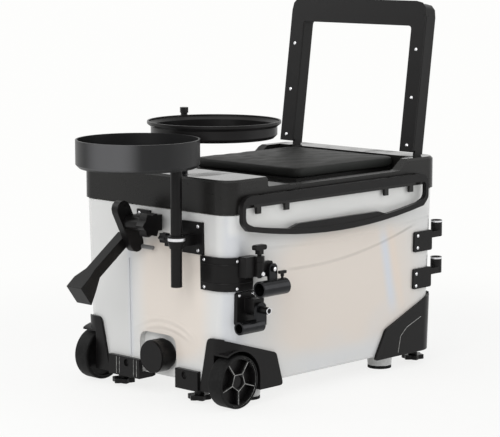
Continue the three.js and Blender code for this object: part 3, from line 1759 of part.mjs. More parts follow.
function cradleBracket() {
  const plate = cut(block(
    [-bodyEnd - cradlePlateThickness, -bodyEnd + bodyCornerRadius],
    [cradlePlateNear, cradlePlateFar],
    [cradlePlateBottom, cradlePlateTop],
  ), wallClear);
  const outline = new THREE.Shape();
  outline.moveTo(-bodyEnd - cradlePlateThickness + fit, cradlePlateTop - cradlePlateThickness);
  outline.lineTo(cradleX, cradleZ + cradleLugRadius);
  outline.absarc(cradleX, cradleZ, cradleLugRadius, Math.PI / 2, 1.5 * Math.PI);
  outline.lineTo(-bodyEnd - cradlePlateThickness + fit, cradlePlateBottom + cradlePlateThickness);
  return cut(
    join(plate, slabXZ(outline, [cradleLugNear, cradleLugFar])),
    rodY(cradleBoltRadius + fit, cradleX, [-bodyWidth, bodyWidth], cradleZ),
  );
}

// Drawn upright about the cradle's bolt and leaned with its group
function cradleHead() {
  const outline = new THREE.Shape();
  outline.absarc(0, cradleHeadUp, cradleHeadRadius, 0, Math.PI);
  outline.absarc(0, -cradleHeadDown, cradleHeadRadius, Math.PI, 2 * Math.PI);
  return slabXZ(outline, [cradleHeadNear, cradleHeadFar]);
}

// The head's bolt hole and pin hole are cut where the leaned head stands
function leaned(solid, degrees, x, z) {
  const geometry = geometryOf(solid);
  geometry.rotateY((degrees * Math.PI) / 180).translate(x, 0, z);
  return solidOf(geometry);
}

function cradleHeadPlaced() {
  return cut(
    leaned(cradleHead(), -cradleLeanDegrees, cradleX, cradleZ),
    rodY(cradleBoltRadius + fit, cradleX, [-bodyWidth, bodyWidth], cradleZ),
    rodY(
      cradlePinRadius + fit,
      cradlePinX,
      [cradleHeadNear - overrun, cradleHeadNear + cradlePinDepth + fit],
      cradlePinZ,
    ),
  );
}

// A channel open below, along -X, with a flared scoop at its free end
function cradleArmPlaced() {
  const middle = (cradleArmNear + cradleArmFar) / 2;
  const half = (cradleArmFar - cradleArmNear) / 2;
  const section = (x, grow, low, high) => [
    new THREE.Vector3(x, middle - half - grow, low),
    new THREE.Vector3(x, middle + half + grow, low),
    new THREE.Vector3(x, middle + half + grow, high),
    new THREE.Vector3(x, middle - half - grow, high),
  ];
  const start = cradleArmHalf;
  const scoop = -cradleArmLength;
  const end = scoop - cradleScoopLength;
  const top = cradleArmDepth / 2;
  const wall = cradleArmWall;
  const flare = cradleScoopFlare;
  const rise = cradleScoopRise;
  const outer = lofted([
    section(start, 0, -top, top),
    section(scoop + cradleNeckLength, 0, -top, top),
    section(scoop, flare, -top - cradleScoopDrop, top + rise),
    section(end, flare, -top - cradleScoopLip, top + rise / 2),
  ]);
  const inner = lofted([
    section(start - wall, -wall, -top - overrun, top - wall),
    section(scoop + cradleNeckLength, -wall, -top - overrun, top - wall),
    section(scoop, flare - wall, -top - cradleScoopDrop - overrun, top + rise - wall),
    section(end + wall, flare - wall, -top - cradleScoopLip - overrun, top + rise / 2 - wall),
  ]);
  return leaned(cut(outer, inner), -cradleArmDegrees, cradleArmX, cradleArmZ);
}

function cradleKnob() {
  const far = cradleLugNear - fit;
  const near = far - cradleKnobThickness;
  const outline = lobedOutline(cradleKnobRadius, cradleKnobDip, levelLobes, cradleX, cradleZ);
  return join(
    slabXZ(outline, [near, far]),
    rodY(cradleBoltRadius, cradleX, [far - fit, cradleHeadFar - cradlePlateThickness], cradleZ),
  );
}

function indexPin() {
  const near = cradleHeadNear - cradlePinLength;
  return rodY(cradlePinRadius, cradlePinX, [near, cradleHeadNear + cradlePinDepth], cradlePinZ);
}

// Finishes

const finishes = {
  shell: { color: 0xdcdcda, roughness: 0.28, metalness: 0 },
  liner: { color: 0xe6e6e2, roughness: 0.45, metalness: 0 },
  foam: { color: 0xf0eddc, roughness: 0.9, metalness: 0 },
  black: { color: 0x262626, roughness: 0.55, metalness: 0 },
  lid: { color: 0x2c2b2b, roughness: 0.5, metalness: 0 },
  pad: { color: 0x353534, roughness: 0.8, metalness: 0 },
  rubber: { color: 0x161616, roughness: 0.85, metalness: 0 },
  tyre: { color: 0x222222, roughness: 0.8, metalness: 0 },
  anodised: { color: 0x1d1f26, roughness: 0.35, metalness: 0.7 },
  steel: { color: 0xb8b9bb, roughness: 0.3, metalness: 1 },
};

function piece(name, finish, solid) {
  const mesh = new THREE.Mesh(geometryOf(solid), new THREE.MeshStandardMaterial(finishes[finish]));
  mesh.name = name;
  return mesh;
}

function assembly(...children) {
  const group = new THREE.Group();
  group.add(...children);
  return group;
}

// Body assembly

const body = assembly(
  piece("outer_shell", "shell", outerShell()),
  piece("insulation_foam", "foam", insulationFoam()),
  piece("inner_liner", "liner", innerLiner()),
  piece("wheel_cover_near", "black", wheelCover(-1)),
  piece("wheel_cover_far", "black", wheelCover(1)),
  piece("corner_guard_near", "black", cornerGuard(-1)),
  piece("corner_guard_far", "black", cornerGuard(1)),
  piece("leg_socket_near", "black", legSocket(-1, socketNearInner, socketOuter)),
  piece("leg_socket_far", "black", legSocket(1, socketFarInner, socketOuter)),
  piece("wheel_axle", "steel", wheelAxle()),
  piece("drain_spigot", "black", drainSpigot()),
  piece("drain_gasket", "rubber", drainGasket()),
  piece("drain_cap", "black", drainCap()),
);
footSpots.forEach(({ name, x, y }) => {
  const pad = piece(`foot_pad_${name}`, "rubber", footPad());
  pad.position.set(x, y, 0);
  body.add(pad);
});
levelSpots.forEach(({ name, x, y }) => {
  const foot = piece(`levelling_foot_${name}`, "black", levellingFoot());
  foot.position.set(x, y, 0);
  body.add(foot);
});

// Wheels, each turned so that its face looks outwards

sides.forEach((side) => {
  const name = side < 0 ? "near" : "far";
  const wheel = assembly(
    piece(`tyre_${name}`, "tyre", tyre()),
    piece(`hub_${name}`, "black", hub()),
  );
  wheel.rotation.x = (-side * Math.PI) / 2;
  wheel.position.set(wheelX, side * (wheelFace - wheelWidth / 2), wheelZ);
  body.add(wheel);
});

// Fittings on the body

const fittings = assembly(
  piece("tray_bracket", "black", trayBracket()),
  piece("tray_post", "anodised", trayPost()),
  piece("post_clamp_knob", "black", postClampKnob()),
  piece("lower_tray", "black", lowerTray()),
  piece("corner_bracket", "black", cornerBracket()),
  piece("upper_rest_yoke", "black", restYoke()),
  piece("upper_rod_tube", "anodised", upperRodTube()),
  piece("upper_t_knob", "black", upperTKnob()),
  piece("upper_wing_screw", "black", upperWingScrew()),
  piece("lower_rest_plate", "black", lowerRestPlate()),
  piece("lower_rod_tube", "anodised", lowerRodTube()),
  piece("lower_clamp_pin", "black", lowerClampPin()),
  piece("pole_clip_upper", "black", poleClip(clipBottoms[0])),
  piece("pole_clip_lower", "black", poleClip(clipBottoms[1])),
  piece("cradle_bracket", "black", cradleBracket()),
  piece("cradle_head", "black", cradleHeadPlaced()),
  piece("cradle_arm", "black", cradleArmPlaced()),
  piece("cradle_knob", "black", cradleKnob()),
  piece("index_pin", "steel", indexPin()),
);

// Lid with all that it carries

const backrest = assembly(
  piece("backrest_frame", "black", backrestFrame()),
  piece("backrest_facing", "black", backrestFacingPlate()),
);
backrest.position.set(backrestPivotX, 0, backrestPivotZ);
backrest.rotation.y = (backrestLeanDegrees * Math.PI) / 180;

const lid = assembly(
  piece("lid_shell", "lid", lidShell()),
  piece("lid_liner", "liner", lidLiner()),
  piece("lid_gasket", "rubber", lidGasket()),
  piece("seat_pad", "pad", seatPad()),
  piece("hinge_leaf_body", "steel", hingeLeaf(false)),
  piece("hinge_leaf_lid", "steel", hingeLeaf(true)),
  piece("hinge_pin", "steel", hingePin()),
  piece("handle_rail", "lid", handleRail()),
  piece("carry_handle", "black", carryHandle()),
  piece("handle_rod", "steel", handleRod()),
  piece("backrest_rod", "steel", backrestRod()),
  piece("upper_tray_post", "anodised", upperTrayPost()),
  piece("upper_tray", "black", upperTray()),
  piece("upper_tray_knob", "black", upperTrayKnob()),
  backrest,
);

// The whole, with its origin on the floor under the middle of its outline

const seatBox = assembly(body, fittings, lid);
seatBox.updateMatrixWorld(true);
const outline = new THREE.Box3().setFromObject(seatBox, true);
const middle = outline.getCenter(new THREE.Vector3());
seatBox.position.set(-middle.x, -middle.y, -outline.min.z);

export default seatBox;
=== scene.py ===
import json
import math

import bmesh
import bpy
from bpy.props import FloatProperty, FloatVectorProperty, IntProperty, PointerProperty
from mathutils import Matrix, Vector


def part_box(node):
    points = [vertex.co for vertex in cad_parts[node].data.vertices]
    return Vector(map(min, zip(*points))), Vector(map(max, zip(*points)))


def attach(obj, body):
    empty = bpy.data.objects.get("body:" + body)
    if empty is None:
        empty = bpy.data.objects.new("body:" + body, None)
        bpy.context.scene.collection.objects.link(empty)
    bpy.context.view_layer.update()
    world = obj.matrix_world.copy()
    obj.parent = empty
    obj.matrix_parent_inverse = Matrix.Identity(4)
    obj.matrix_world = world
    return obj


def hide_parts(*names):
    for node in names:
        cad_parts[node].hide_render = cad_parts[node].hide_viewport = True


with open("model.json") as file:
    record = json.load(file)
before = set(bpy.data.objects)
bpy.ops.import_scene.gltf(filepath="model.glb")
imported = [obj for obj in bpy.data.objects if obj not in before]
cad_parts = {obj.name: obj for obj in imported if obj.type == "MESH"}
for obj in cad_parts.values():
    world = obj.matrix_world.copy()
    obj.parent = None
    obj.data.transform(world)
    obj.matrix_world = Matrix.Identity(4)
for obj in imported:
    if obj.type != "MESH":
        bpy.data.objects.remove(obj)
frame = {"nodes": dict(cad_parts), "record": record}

bl_info = {
    "name": "Seat box looks",
    "version": (1, 0, 0),
    "blender": (4, 5, 0),
    "location": "3D View > Sidebar > Seat box",
    "description": "Dresses the packed seat box: finishes, rounded edges, screws, seat pad, stage",
    "category": "Object",
}

MM = 0.001
WHITE = (0.985, 0.985, 0.975)
SHARP_TURN = 0.6  # radians between two faces, over which a grown edge stays sharp
LOW_SHELL, HIGH_SHELL = (Vector(corner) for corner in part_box("outer_shell"))
MIDDLE = (LOW_SHELL + HIGH_SHELL) / 2
NODE_BODY = {
    node: body
    for body, nodes in frame["record"]["behaviour"]["bodies"].items()
    for node in nodes
}
NODE_SLOT = {entry["node"]: entry["material_slot"] for entry in frame["record"]["subparts"]}


# Places on the box


def spot(x, y, z):
    """A point given in millimetres about the middle of the box, with heights from the floor."""
    return Vector((MIDDLE.x + x * MM, MIDDLE.y + y * MM, z * MM))


# Sizes and colours that can be changed


def swatch(name, what, *channels):
    """A colour, given as linear red, green and blue."""
    return FloatVectorProperty(
        name=name, description="Colour of " + what, subtype="COLOR", default=channels
    )


def length(name, what, metres):
    """A length."""
    return FloatProperty(name=name, description=what, subtype="DISTANCE", default=metres)


class SeatBoxColours(bpy.types.PropertyGroup):
    """Colours of the seat box."""

    shell: swatch("Shell", "the moulded body", 0.70, 0.635, 0.57)
    shell_grey: swatch("Grey shell", "the body near its edges", 0.655, 0.655, 0.642)
    liner: swatch("Liner", "the inner lining", 0.78, 0.78, 0.74)
    foam: swatch("Foam", "the insulation", 0.84, 0.8, 0.66)
    black: swatch("Black plastic", "the fittings", 0.0065, 0.0061, 0.0062)
    tray: swatch("Left tray", "the tray at the left end", 0.035, 0.035, 0.036)
    lid: swatch("Lid", "the lid", 0.010, 0.0096, 0.009)
    pad: swatch("Seat pad", "the seat pad", 0.0115, 0.0117, 0.0108)
    rubber: swatch("Rubber", "seals and foot pads", 0.008, 0.008, 0.008)
    tyre: swatch("Tyre", "the tyres", 0.006, 0.006, 0.006)
    tube: swatch("Tube", "the anodised tubes", 0.012, 0.0122, 0.0132)
    steel: swatch("Steel", "screws, pins and bright bands", 0.78, 0.78, 0.8)
    pin: swatch("Pull pin", "the cradle's pull pin", 0.16, 0.16, 0.16)
    # The pale trim also stands in for the bright edges of ribs and lines: a painted highlight
    trim: swatch("Trim", "rubbed ribs and moulded lines", 0.3, 0.3, 0.29)


class SeatBoxSizes(bpy.types.PropertyGroup):
    """Sizes of the details that are added to the frame."""

    large_edge: length("Large edge", "Rounding of the mouldings' edges", 0.0022)
    small_edge: length("Small edge", "Rounding of the fittings' edges", 0.0009)
    hard_edge: length("Hard edge", "Rounding of metal and rubber edges", 0.0005)
    screw_radius: length("Screw radius", "Radius of a screw's head", 0.003)
    line_radius: length("Line radius", "Radius of the moulded lines", 0.0007)
    rib_radius: length("Hub rib radius", "Radius of the thin ribs on a hub", 0.0008)
    spokes: IntProperty(name="Spokes", description="Ribs from each hub's cap", default=5)
    pad_voxel: length("Pad voxel", "Mesh size of the pad's foam", 0.0034)
    pad_swell: length("Pad swell", "How far the foam may push its skin out", 0.0014)
    wave_depth: length("Wave depth", "Depth of the rings in the pad", 0.0011)


class SeatBoxView(bpy.types.PropertyGroup):
    """The photograph's camera, found from the box's edges."""

    azimuth: FloatProperty(name="Azimuth", description="Turn in degrees", default=-45.86)
    elevation: FloatProperty(name="Elevation", description="Height in degrees", default=8.10)
    distance: length("Distance", "From the aim to the camera", 3.87937)
    lens: FloatProperty(name="Lens", description="Focal length in millimetres", default=147.55)
    aim_right: length("Aim right", "Shift of the aim to the right", -0.02374)
    aim_up: length("Aim up", "Shift of the aim upwards", 0.09204)


# Node trees


class Value:
    """A socket of a node tree, on which Python's operators add Math nodes."""

    def __init__(self, nodes, socket):
        self.nodes = nodes
        self.socket = socket

    def maths(self, operation, *others):
        """A Math node on this value and the others, in order."""
        sockets = dict(enumerate((self, *others)))
        return self.nodes.node("ShaderNodeMath", sockets, {"operation": operation})

    def __add__(self, other):
        return self.maths("ADD", other)

    def __mul__(self, other):
        return self.maths("MULTIPLY", other)

    def __sub__(self, other):
        return self.maths("SUBTRACT", other)

    def __truediv__(self, other):
        return self.maths("DIVIDE", other)

    def __abs__(self):
        return self.maths("ABSOLUTE")

    def __neg__(self):
        return self * -1

    def __rsub__(self, other):
        return -self + other


class Nodes:
    """A node tree with one method that adds any node."""

    def __init__(self, tree):
        self.tree = tree

    def node(self, kind, sockets=None, settings=None, output=0):
        """Any node: its type, what its sockets hold, its settings, and which output is used."""
        made = self.tree.nodes.new(kind)
        for name, value in (settings or {}).items():
            setattr(made, name, value)
        for key, value in (sockets or {}).items():
            for part in value if isinstance(value, list) else [value]:
                if isinstance(part, Value):
                    self.tree.links.new(part.socket, made.inputs[key])
                else:
                    made.inputs[key].default_value = part
        return Value(self, made.outputs[output])

    def shown_rays(self):
        """1 for rays seen directly, in a reflection or through glass, and 0 for the rest."""
        rays = [
            self.node("ShaderNodeLightPath", output=name)
            for name in ("Is Camera Ray", "Is Glossy Ray", "Is Transmission Ray")
        ]
        return rays[0].maths("MAXIMUM", rays[1]).maths("MAXIMUM", rays[2])


class Growth(Nodes):
    """A Geometry Nodes tree with named inputs, which works on the mesh that it is given."""

    def __init__(self, name, inputs):
        super().__init__(bpy.data.node_groups.new(name, "GeometryNodeTree"))
        face = self.tree.interface
        face.new_socket("Geometry", in_out="INPUT", socket_type="NodeSocketGeometry")
        for title, kind in inputs.items():
            face.new_socket(title, in_out="INPUT", socket_type=kind)
        face.new_socket("Geometry", in_out="OUTPUT", socket_type="NodeSocketGeometry")
        self.entry = self.tree.nodes.new("NodeGroupInput")

    def given(self, title):
        """What the modifier holds for a named input."""
        return Value(self, self.entry.outputs[title])

    def attribute(self, name, kind="FLOAT"):
        """A named attribute of the mesh."""
        return self.node("GeometryNodeInputNamedAttribute", {"Name": name}, {"data_type": kind})

    def aligned(self, axis, vector, pivot="AUTO", rotation=(0.0, 0.0, 0.0)):
        """A rotation that turns an axis towards a vector."""
        return self.node(
            "FunctionNodeAlignRotationToVector", {"Rotation": rotation, "Vector": vector},
            {"axis": axis, "pivot_axis": pivot},
        )

    def facing(self):
        """A rotation that turns Z the way that a point faces."""
        return self.aligned("Z", self.attribute("facing", "FLOAT_VECTOR"))

    def circle(self, resolution, radius):
        """A circle about Z."""
        sockets = {"Resolution": resolution, "Radius": radius}
        return self.node("GeometryNodeCurvePrimitiveCircle", sockets)

    def bead(self, curve, radius):
        """A round bead along a curve."""
        sockets = {"Curve": curve, "Profile Curve": self.circle(8, radius), "Fill Caps": True}
        return self.smooth(self.node("GeometryNodeCurveToMesh", sockets))

    def smooth(self, geometry):
        """The geometry with smooth faces and edges that stay sharp where they turn far."""
        soft = self.node("GeometryNodeSetShadeSmooth", {"Geometry": geometry})
        turn = self.node("GeometryNodeInputMeshEdgeAngle").maths("GREATER_THAN", SHARP_TURN)
        sockets = {"Geometry": soft, "Selection": turn, "Shade Smooth": False}
        return self.node("GeometryNodeSetShadeSmooth", sockets, {"domain": "EDGE"})

    def finish(self, geometry):
        """Realizes and paints the geometry, which ends the tree."""
        real = self.node("GeometryNodeRealizeInstances", {"Geometry": geometry})
        sockets = {"Geometry": real, "Material": self.given("Finish")}
        painted = self.node("GeometryNodeSetMaterial", sockets)
        result = self.tree.nodes.new("NodeGroupOutput")
        self.tree.links.new(painted.socket, result.inputs["Geometry"])
        return self.tree


def screw_heads():
    """A domed head with a six-sided recess on every point, turned the way that the point faces."""
    growth = Growth("screw heads", {"Radius": "NodeSocketFloat", "Finish": "NodeSocketMaterial"})
    ball = growth.node("GeometryNodeMeshUVSphere", {"Segments": 28, "Rings": 14, "Radius": 1.0})
    dome = growth.node("GeometryNodeTransform", {"Geometry": ball, "Scale": (1.0, 1.0, 0.5)})
    key = growth.node("GeometryNodeMeshCylinder", {"Vertices": 6, "Radius": 0.42, "Depth": 1.0})
    lifted = {"Geometry": key, "Translation": (0.0, 0.0, 0.7)}
    cut = {"Mesh 1": dome, "Mesh 2": growth.node("GeometryNodeTransform", lifted)}
    head = growth.node("GeometryNodeMeshBoolean", cut, {"operation": "DIFFERENCE"})
    placed = growth.node("GeometryNodeInstanceOnPoints", {
        "Points": growth.given("Geometry"),
        "Instance": growth.smooth(head),
        "Rotation": growth.facing(),
        "Scale": growth.attribute("size") * growth.given("Radius"),
    })
    return growth.finish(placed)


def hub_ribs():
    """Thin ribs on a hub: a ring near the tyre, the edge of a cap, and spokes from its corners."""
    growth = Growth("hub ribs", {
        "Rib": "NodeSocketFloat", "Cap": "NodeSocketFloat", "Reach": "NodeSocketFloat",
        "Ring": "NodeSocketFloat", "Spokes": "NodeSocketInt", "Finish": "NodeSocketMaterial",
    })
    start = growth.node("ShaderNodeCombineXYZ", {"X": growth.given("Cap")})
    end = growth.node("ShaderNodeCombineXYZ", {"X": growth.given("Reach")})
    spoke = growth.node("GeometryNodeCurvePrimitiveLine", {"Start": start, "End": end})
    centres = growth.node(
        "GeometryNodeMeshCircle", {"Vertices": growth.given("Spokes"), "Radius": 0.00001}
    )
    outwards = growth.aligned("X", growth.node("GeometryNodeInputPosition"))
    spokes = growth.node(
        "GeometryNodeInstanceOnPoints",
        {"Points": centres, "Instance": spoke, "Rotation": outwards},
    )
    cap = growth.circle(growth.given("Spokes"), growth.given("Cap"))
    # A pale ring that stands in for the bright edge of the tyre's shoulder: a painted highlight
    ring = growth.circle(96, growth.given("Ring"))
    lines = growth.node("GeometryNodeJoinGeometry", {"Geometry": [spokes, cap, ring]})
    whole = growth.node("GeometryNodeRealizeInstances", {"Geometry": lines})
    ribs = growth.bead(whole, growth.given("Rib"))
    hung = growth.node(
        "GeometryNodeTransform", {"Geometry": ribs, "Rotation": (0.0, 0.0, -math.pi / 2)}
    )
    upright = growth.aligned("Y", (0.0, 0.0, 1.0), "Z", growth.facing())
    placed = growth.node(
        "GeometryNodeInstanceOnPoints",
        {"Points": growth.given("Geometry"), "Instance": hung, "Rotation": upright},
    )
    return growth.finish(placed)


def moulded_lines():
    """A round bead along every chain of edges."""
    growth = Growth("moulded lines", {"Radius": "NodeSocketFloat", "Finish": "NodeSocketMaterial"})
    curve = growth.node("GeometryNodeMeshToCurve", {"Mesh": growth.given("Geometry")})
    return growth.finish(growth.bead(curve, growth.given("Radius")))


class Paint(Nodes):
    """One material and the nodes that feed its Principled shader."""

    def __init__(self, name, **constants):
        self.material = bpy.data.materials.new(name)
        self.material.use_nodes = True
        super().__init__(self.material.node_tree)
        self.shader = next(node for node in self.tree.nodes if node.type == "BSDF_PRINCIPLED")
        for socket, value in constants.items():
            self.shader.inputs[socket.replace("_", " ")].default_value = value

    def place(self):
        """Object coordinates, in metres."""
        return self.node("ShaderNodeTexCoord", output="Object")

    def axes(self):
        """Object coordinates as three numbers, taken from the middle of the box."""
        sockets = {0: self.place(), 1: (MIDDLE.x, MIDDLE.y, 0)}
        moved = self.node("ShaderNodeVectorMath", sockets, {"operation": "SUBTRACT"})
        return [self.node("ShaderNodeSeparateXYZ", {0: moved}, output=axis) for axis in "XYZ"]

    def noise(self, scale, detail=3.0, roughness=0.55, stretch=(1, 1, 1)):
        """Noise from 0 to 1, stretched by making its coordinates shorter along an axis."""
        place = self.node("ShaderNodeMapping", {"Vector": self.place(), "Scale": stretch})
        sockets = {"Vector": place, "Scale": scale, "Detail": detail, "Roughness": roughness}
        return self.node("ShaderNodeTexNoise", sockets)

    def cells(self, scale, feature="F1"):
        """Distance to the nearest of scattered points."""
        sockets = {"Vector": self.place(), "Scale": scale}
        return self.node("ShaderNodeTexVoronoi", sockets, {"feature": feature})

    def smooth(self, value, low, high):
        """0 below low, 1 above high, and a soft step between them."""
        sockets = {"Value": value, "From Min": low, "From Max": high}
        return self.node("ShaderNodeMapRange", sockets, {"interpolation_type": "SMOOTHSTEP"})

    def between(self, value, rise, full, fall, gone):
        """1 from full to fall, with soft steps up from rise and down to gone."""
        return self.smooth(value, rise, full) * (1 - self.smooth(value, fall, gone))

    def ridge(self, value, width):
        """1 where value is 0, falling to 0 at a width on either side."""
        return 1 - self.smooth(abs(value), 0.0, width)

    def mix(self, share, first, second):
        """A colour between two colours."""
        sockets = {0: share, 6: colour(first), 7: colour(second)}
        return self.node("ShaderNodeMix", sockets, {"data_type": "RGBA"}, output=2)

    def bump(self, height, distance, strength=1.0):
        """Height from 0 to 1 as a surface that stands up by a distance."""
        sockets = {"Height": height, "Distance": distance, "Strength": strength}
        self.feed("Normal", self.node("ShaderNodeBump", sockets))

    def feed(self, socket, value):
        """Links a value to the shader."""
        self.tree.links.new(value.socket, self.shader.inputs[socket])


def colour(value):
    """A colour with its alpha, where it is not a socket."""
    return value if isinstance(value, Value) else (*value, 1.0)


def shaded(value, factor):
    """A colour made lighter or darker."""
    return tuple(min(1.0, channel * factor) for channel in value)


# Finishes


def pearl_shell(tints):
    """Glossy pearl body with a smile-shaped crease below the handle and arches over the drain."""
    paint = Paint("pearl_shell", Roughness=0.24, Coat_Weight=0.35, Coat_Roughness=0.12)
    x, y, z = paint.axes()
    near = paint.smooth(-y, 0.176, 0.186)
    left = paint.smooth(-x, 0.270, 0.279)

    # Warm in the middle of each side, and grey towards the edges
    clouds = paint.noise(3.2, 2.0, 0.5, (1, 1, 1.6))
    across = paint.ridge(x - 0.02, 0.30) * near
    along = paint.ridge(y + 0.05, 0.13) * left
    level = paint.between(z, 0.045, 0.12, 0.25, 0.32)
    middle = paint.smooth((across + along) * level * 1.3 + clouds * 0.5, 0.25, 0.95)
    tinted = paint.mix(middle, tuple(tints.shell_grey), tuple(tints.shell))

    # Leaning streaks on the near side, painted shade in the left end's crease, a painted reflection
    # down the near-left corner, and painted light and shade on the band under the lid
    band_height = paint.between(z, 0.10, 0.16, 0.24, 0.30) * near
    blue_streak = paint.ridge(x - 0.144 - (0.20 - z) * 0.22, 0.020) * band_height
    warm_streak = paint.ridge(x - 0.174 - (0.18 - z) * 0.26, 0.017) * band_height
    # Painted shade: a cool, bluish tint along the crease groove on the left end
    corner = paint.ridge(y - 0.0625, 0.011) * left * paint.smooth(z, 0.055, 0.07)
    # Painted reflection: a cooler, darker band down the rounded near-left corner
    corner_painted_reflection = paint.between(-x, 0.225, 0.262, 0.275, 0.284) * paint.smooth(-y, 0.15, 0.175)
    # The band under the lid, behind the handle, where the handle's shadow falls
    window = near * paint.smooth(z, 0.300, 0.318)
    # Ripples across the band under the lid: real relief in the bump, and painted shade in the
    # colour
    waves = (z * 190 + paint.noise(5.0, 2.0, 0.5, (1, 1, 3)) * 7).maths("SINE") * 0.5 + 0.5

    # Each tint is laid over the last: its share, its hue, and how light it is
    warm_light, grey_light = tints.shell[1], tints.shell_grey[1]
    for share, hue, light in (
        (paint.smooth(clouds, 0.55, 0.75) * 0.6, (0.95, 0.985, 1.03), grey_light),
        (blue_streak * 0.7, (0.93, 1.02, 1.16), warm_light),
        (warm_streak * 0.7, (1.16, 1.0, 0.86), warm_light),
        # Painted shade in the crease on the left end
        (corner * 0.35, (0.9, 0.95, 1.06), warm_light),
        # Painted reflection down the near-left corner
        (corner_painted_reflection * 0.6, (0.80, 0.83, 0.89), grey_light),
        # Painted light: a paler grey that lifts the handle's shadow on the band under the lid
        (window * 0.6, (0.80, 0.80, 0.775), 1.0),
        # Painted shade of the ripples in the band under the lid
        (window * waves * 0.3, (0.70, 0.70, 0.68), 1.0),
    ):
        tinted = paint.mix(share, tinted, shaded(hue, light))
    paint.feed("Base Color", tinted)

    def crease(level, slope, bow, low, high):
        """A step along a bowed line on the near side, soft at its two ends."""
        line = z - level - x * slope - x * x * bow
        ends = paint.between(x, low, low + 0.07, high - 0.06, high)
        return paint.smooth(line, -0.004, 0.004) * ends * near

    def arch(radius, height):
        """A ridge along a flattened circle on the left end."""
        aside, above = y + 0.024, z - height + radius
        reach = (aside * aside * 0.35 + above * above).maths("SQRT")
        return paint.ridge(reach - radius, 0.007) * left * paint.smooth(z, 0.10, 0.125)

    height = (
        crease(0.2356, 0.0822, 0.507, -0.17, 0.25)
        + crease(0.2738, 0.012, 0.19, -0.22, 0.29) * 0.7
        + (arch(0.05, 0.142) + arch(0.05, 0.129)) * 0.4
        + waves * window * 0.2
    )
    flow = paint.noise(9.0, 1.0, 0.4)
    paint.feed("Roughness", flow * 0.10 + 0.20)
    paint.bump(height + flow * 0.1, 0.0035, 0.9)
    return paint.material


def moulded(name, tint, roughness, grain, shine, polished=None):
    """Moulded plastic with a grain, streaks and rubbed patches, polished above a height."""
    paint = Paint(name, Specular_IOR_Level=shine)
    broad = paint.noise(14.0, 3.0, 0.6, (1, 1, 2.5))
    fine = paint.noise(grain, 2.0, 0.6)
    rubbed = paint.smooth(paint.noise(42.0, 4.0, 0.7), 0.56, 0.74)
    base = paint.mix(broad, shaded(tint, 0.82), shaded(tint, 1.22))
    paint.feed("Base Color", paint.mix(rubbed * 0.18, base, shaded(tint, 1.9)))
    dull = broad * 0.16 + fine * 0.06 + (roughness - 0.1) + rubbed * 0.05
    height = fine
    if polished:
        height = fine + paint.noise(7.0, 2.0, 0.5, (1, 1, 9)) * 2.6
        top = paint.smooth(paint.axes()[2], polished - 0.002, polished - 0.001)
        streaks = paint.smooth(paint.noise(26.0, 3.0, 0.6, (0.35, 1, 1)), 0.45, 0.65)
        dull = dull * (1 - top) + (streaks * 0.24 + 0.05) * top
    paint.feed("Roughness", dull)
    paint.bump(height, 0.00015, 0.6)
    return paint.material


def liner_plastic(tints):
    """Smooth pale lining with faint scuffs."""
    paint = Paint("liner_plastic")
    scuffs = paint.smooth(paint.noise(30.0, 4.0, 0.7, (1, 1, 4)), 0.55, 0.75)
    scuffed = shaded(tints.liner, 0.85)
    paint.feed("Base Color", paint.mix(scuffs * 0.2, tuple(tints.liner), scuffed))
    paint.feed("Roughness", scuffs * 0.15 + 0.38)
    paint.bump(paint.noise(500.0, 2.0), 0.0001, 0.4)
    return paint.material


def foam_beads(tints):
    """Rigid foam with its beads."""
    paint = Paint("foam_beads", Roughness=0.9)
    beads = paint.cells(260.0)
    paint.feed("Base Color", paint.mix(beads, tuple(tints.foam), shaded(tints.foam, 0.8)))
    paint.bump(1 - beads, 0.0008, 0.8)
    return paint.material


def pad_skin(tints):
    """The seat pad's closed skin: a fine leather grain over slow waves, and a near side painted
    paler as painted light.
    """
    paint = Paint("pad_skin", Specular_IOR_Level=0.12)
    grain = paint.cells(520.0, "SMOOTH_F1")
    slow = paint.noise(16.0, 3.0, 0.6, (1, 2.5, 1))
    low = Vector(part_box("seat_pad")[0]) - MIDDLE
    # Painted light: the near side face, which the lamps catch, is painted paler than the rest of
    # the pad
    near = paint.smooth(-paint.axes()[1], -low.y - 0.004, -low.y - 0.002)
    base = paint.mix(slow, shaded(tints.pad, 0.6), shaded(tints.pad, 1.5))
    side = shaded((1.0, 1.06, 0.98), tints.pad[0] * 1.9)
    paint.feed("Base Color", paint.mix(near, base, side))
    paint.feed("Roughness", slow * 0.2 + 0.42)
    paint.bump(grain + slow * 0.6, 0.00025, 0.7)
    return paint.material


def rubber(tints):
    """Dull black rubber with dust in its grain."""
    paint = Paint("rubber", Specular_IOR_Level=0.12)
    dust = paint.noise(220.0, 4.0, 0.7)
    paint.feed("Base Color", paint.mix(dust, tuple(tints.rubber), shaded(tints.rubber, 3.0)))
    paint.feed("Roughness", dust * 0.2 + 0.68)
    paint.bump(dust, 0.0002, 0.6)
    return paint.material


def tyre_rubber(tints):
    """A solid tyre, greyer where it has rolled."""
    paint = Paint("tyre_rubber", Specular_IOR_Level=0.12)
    dust = paint.noise(90.0, 5.0, 0.7)
    rolled = paint.smooth(dust, 0.4, 0.7)
    paint.feed("Base Color", paint.mix(rolled, tuple(tints.tyre), shaded(tints.tyre, 2.0)))
    paint.feed("Roughness", dust * 0.2 + 0.5)
    paint.bump(dust, 0.0002, 0.5)
    return paint.material


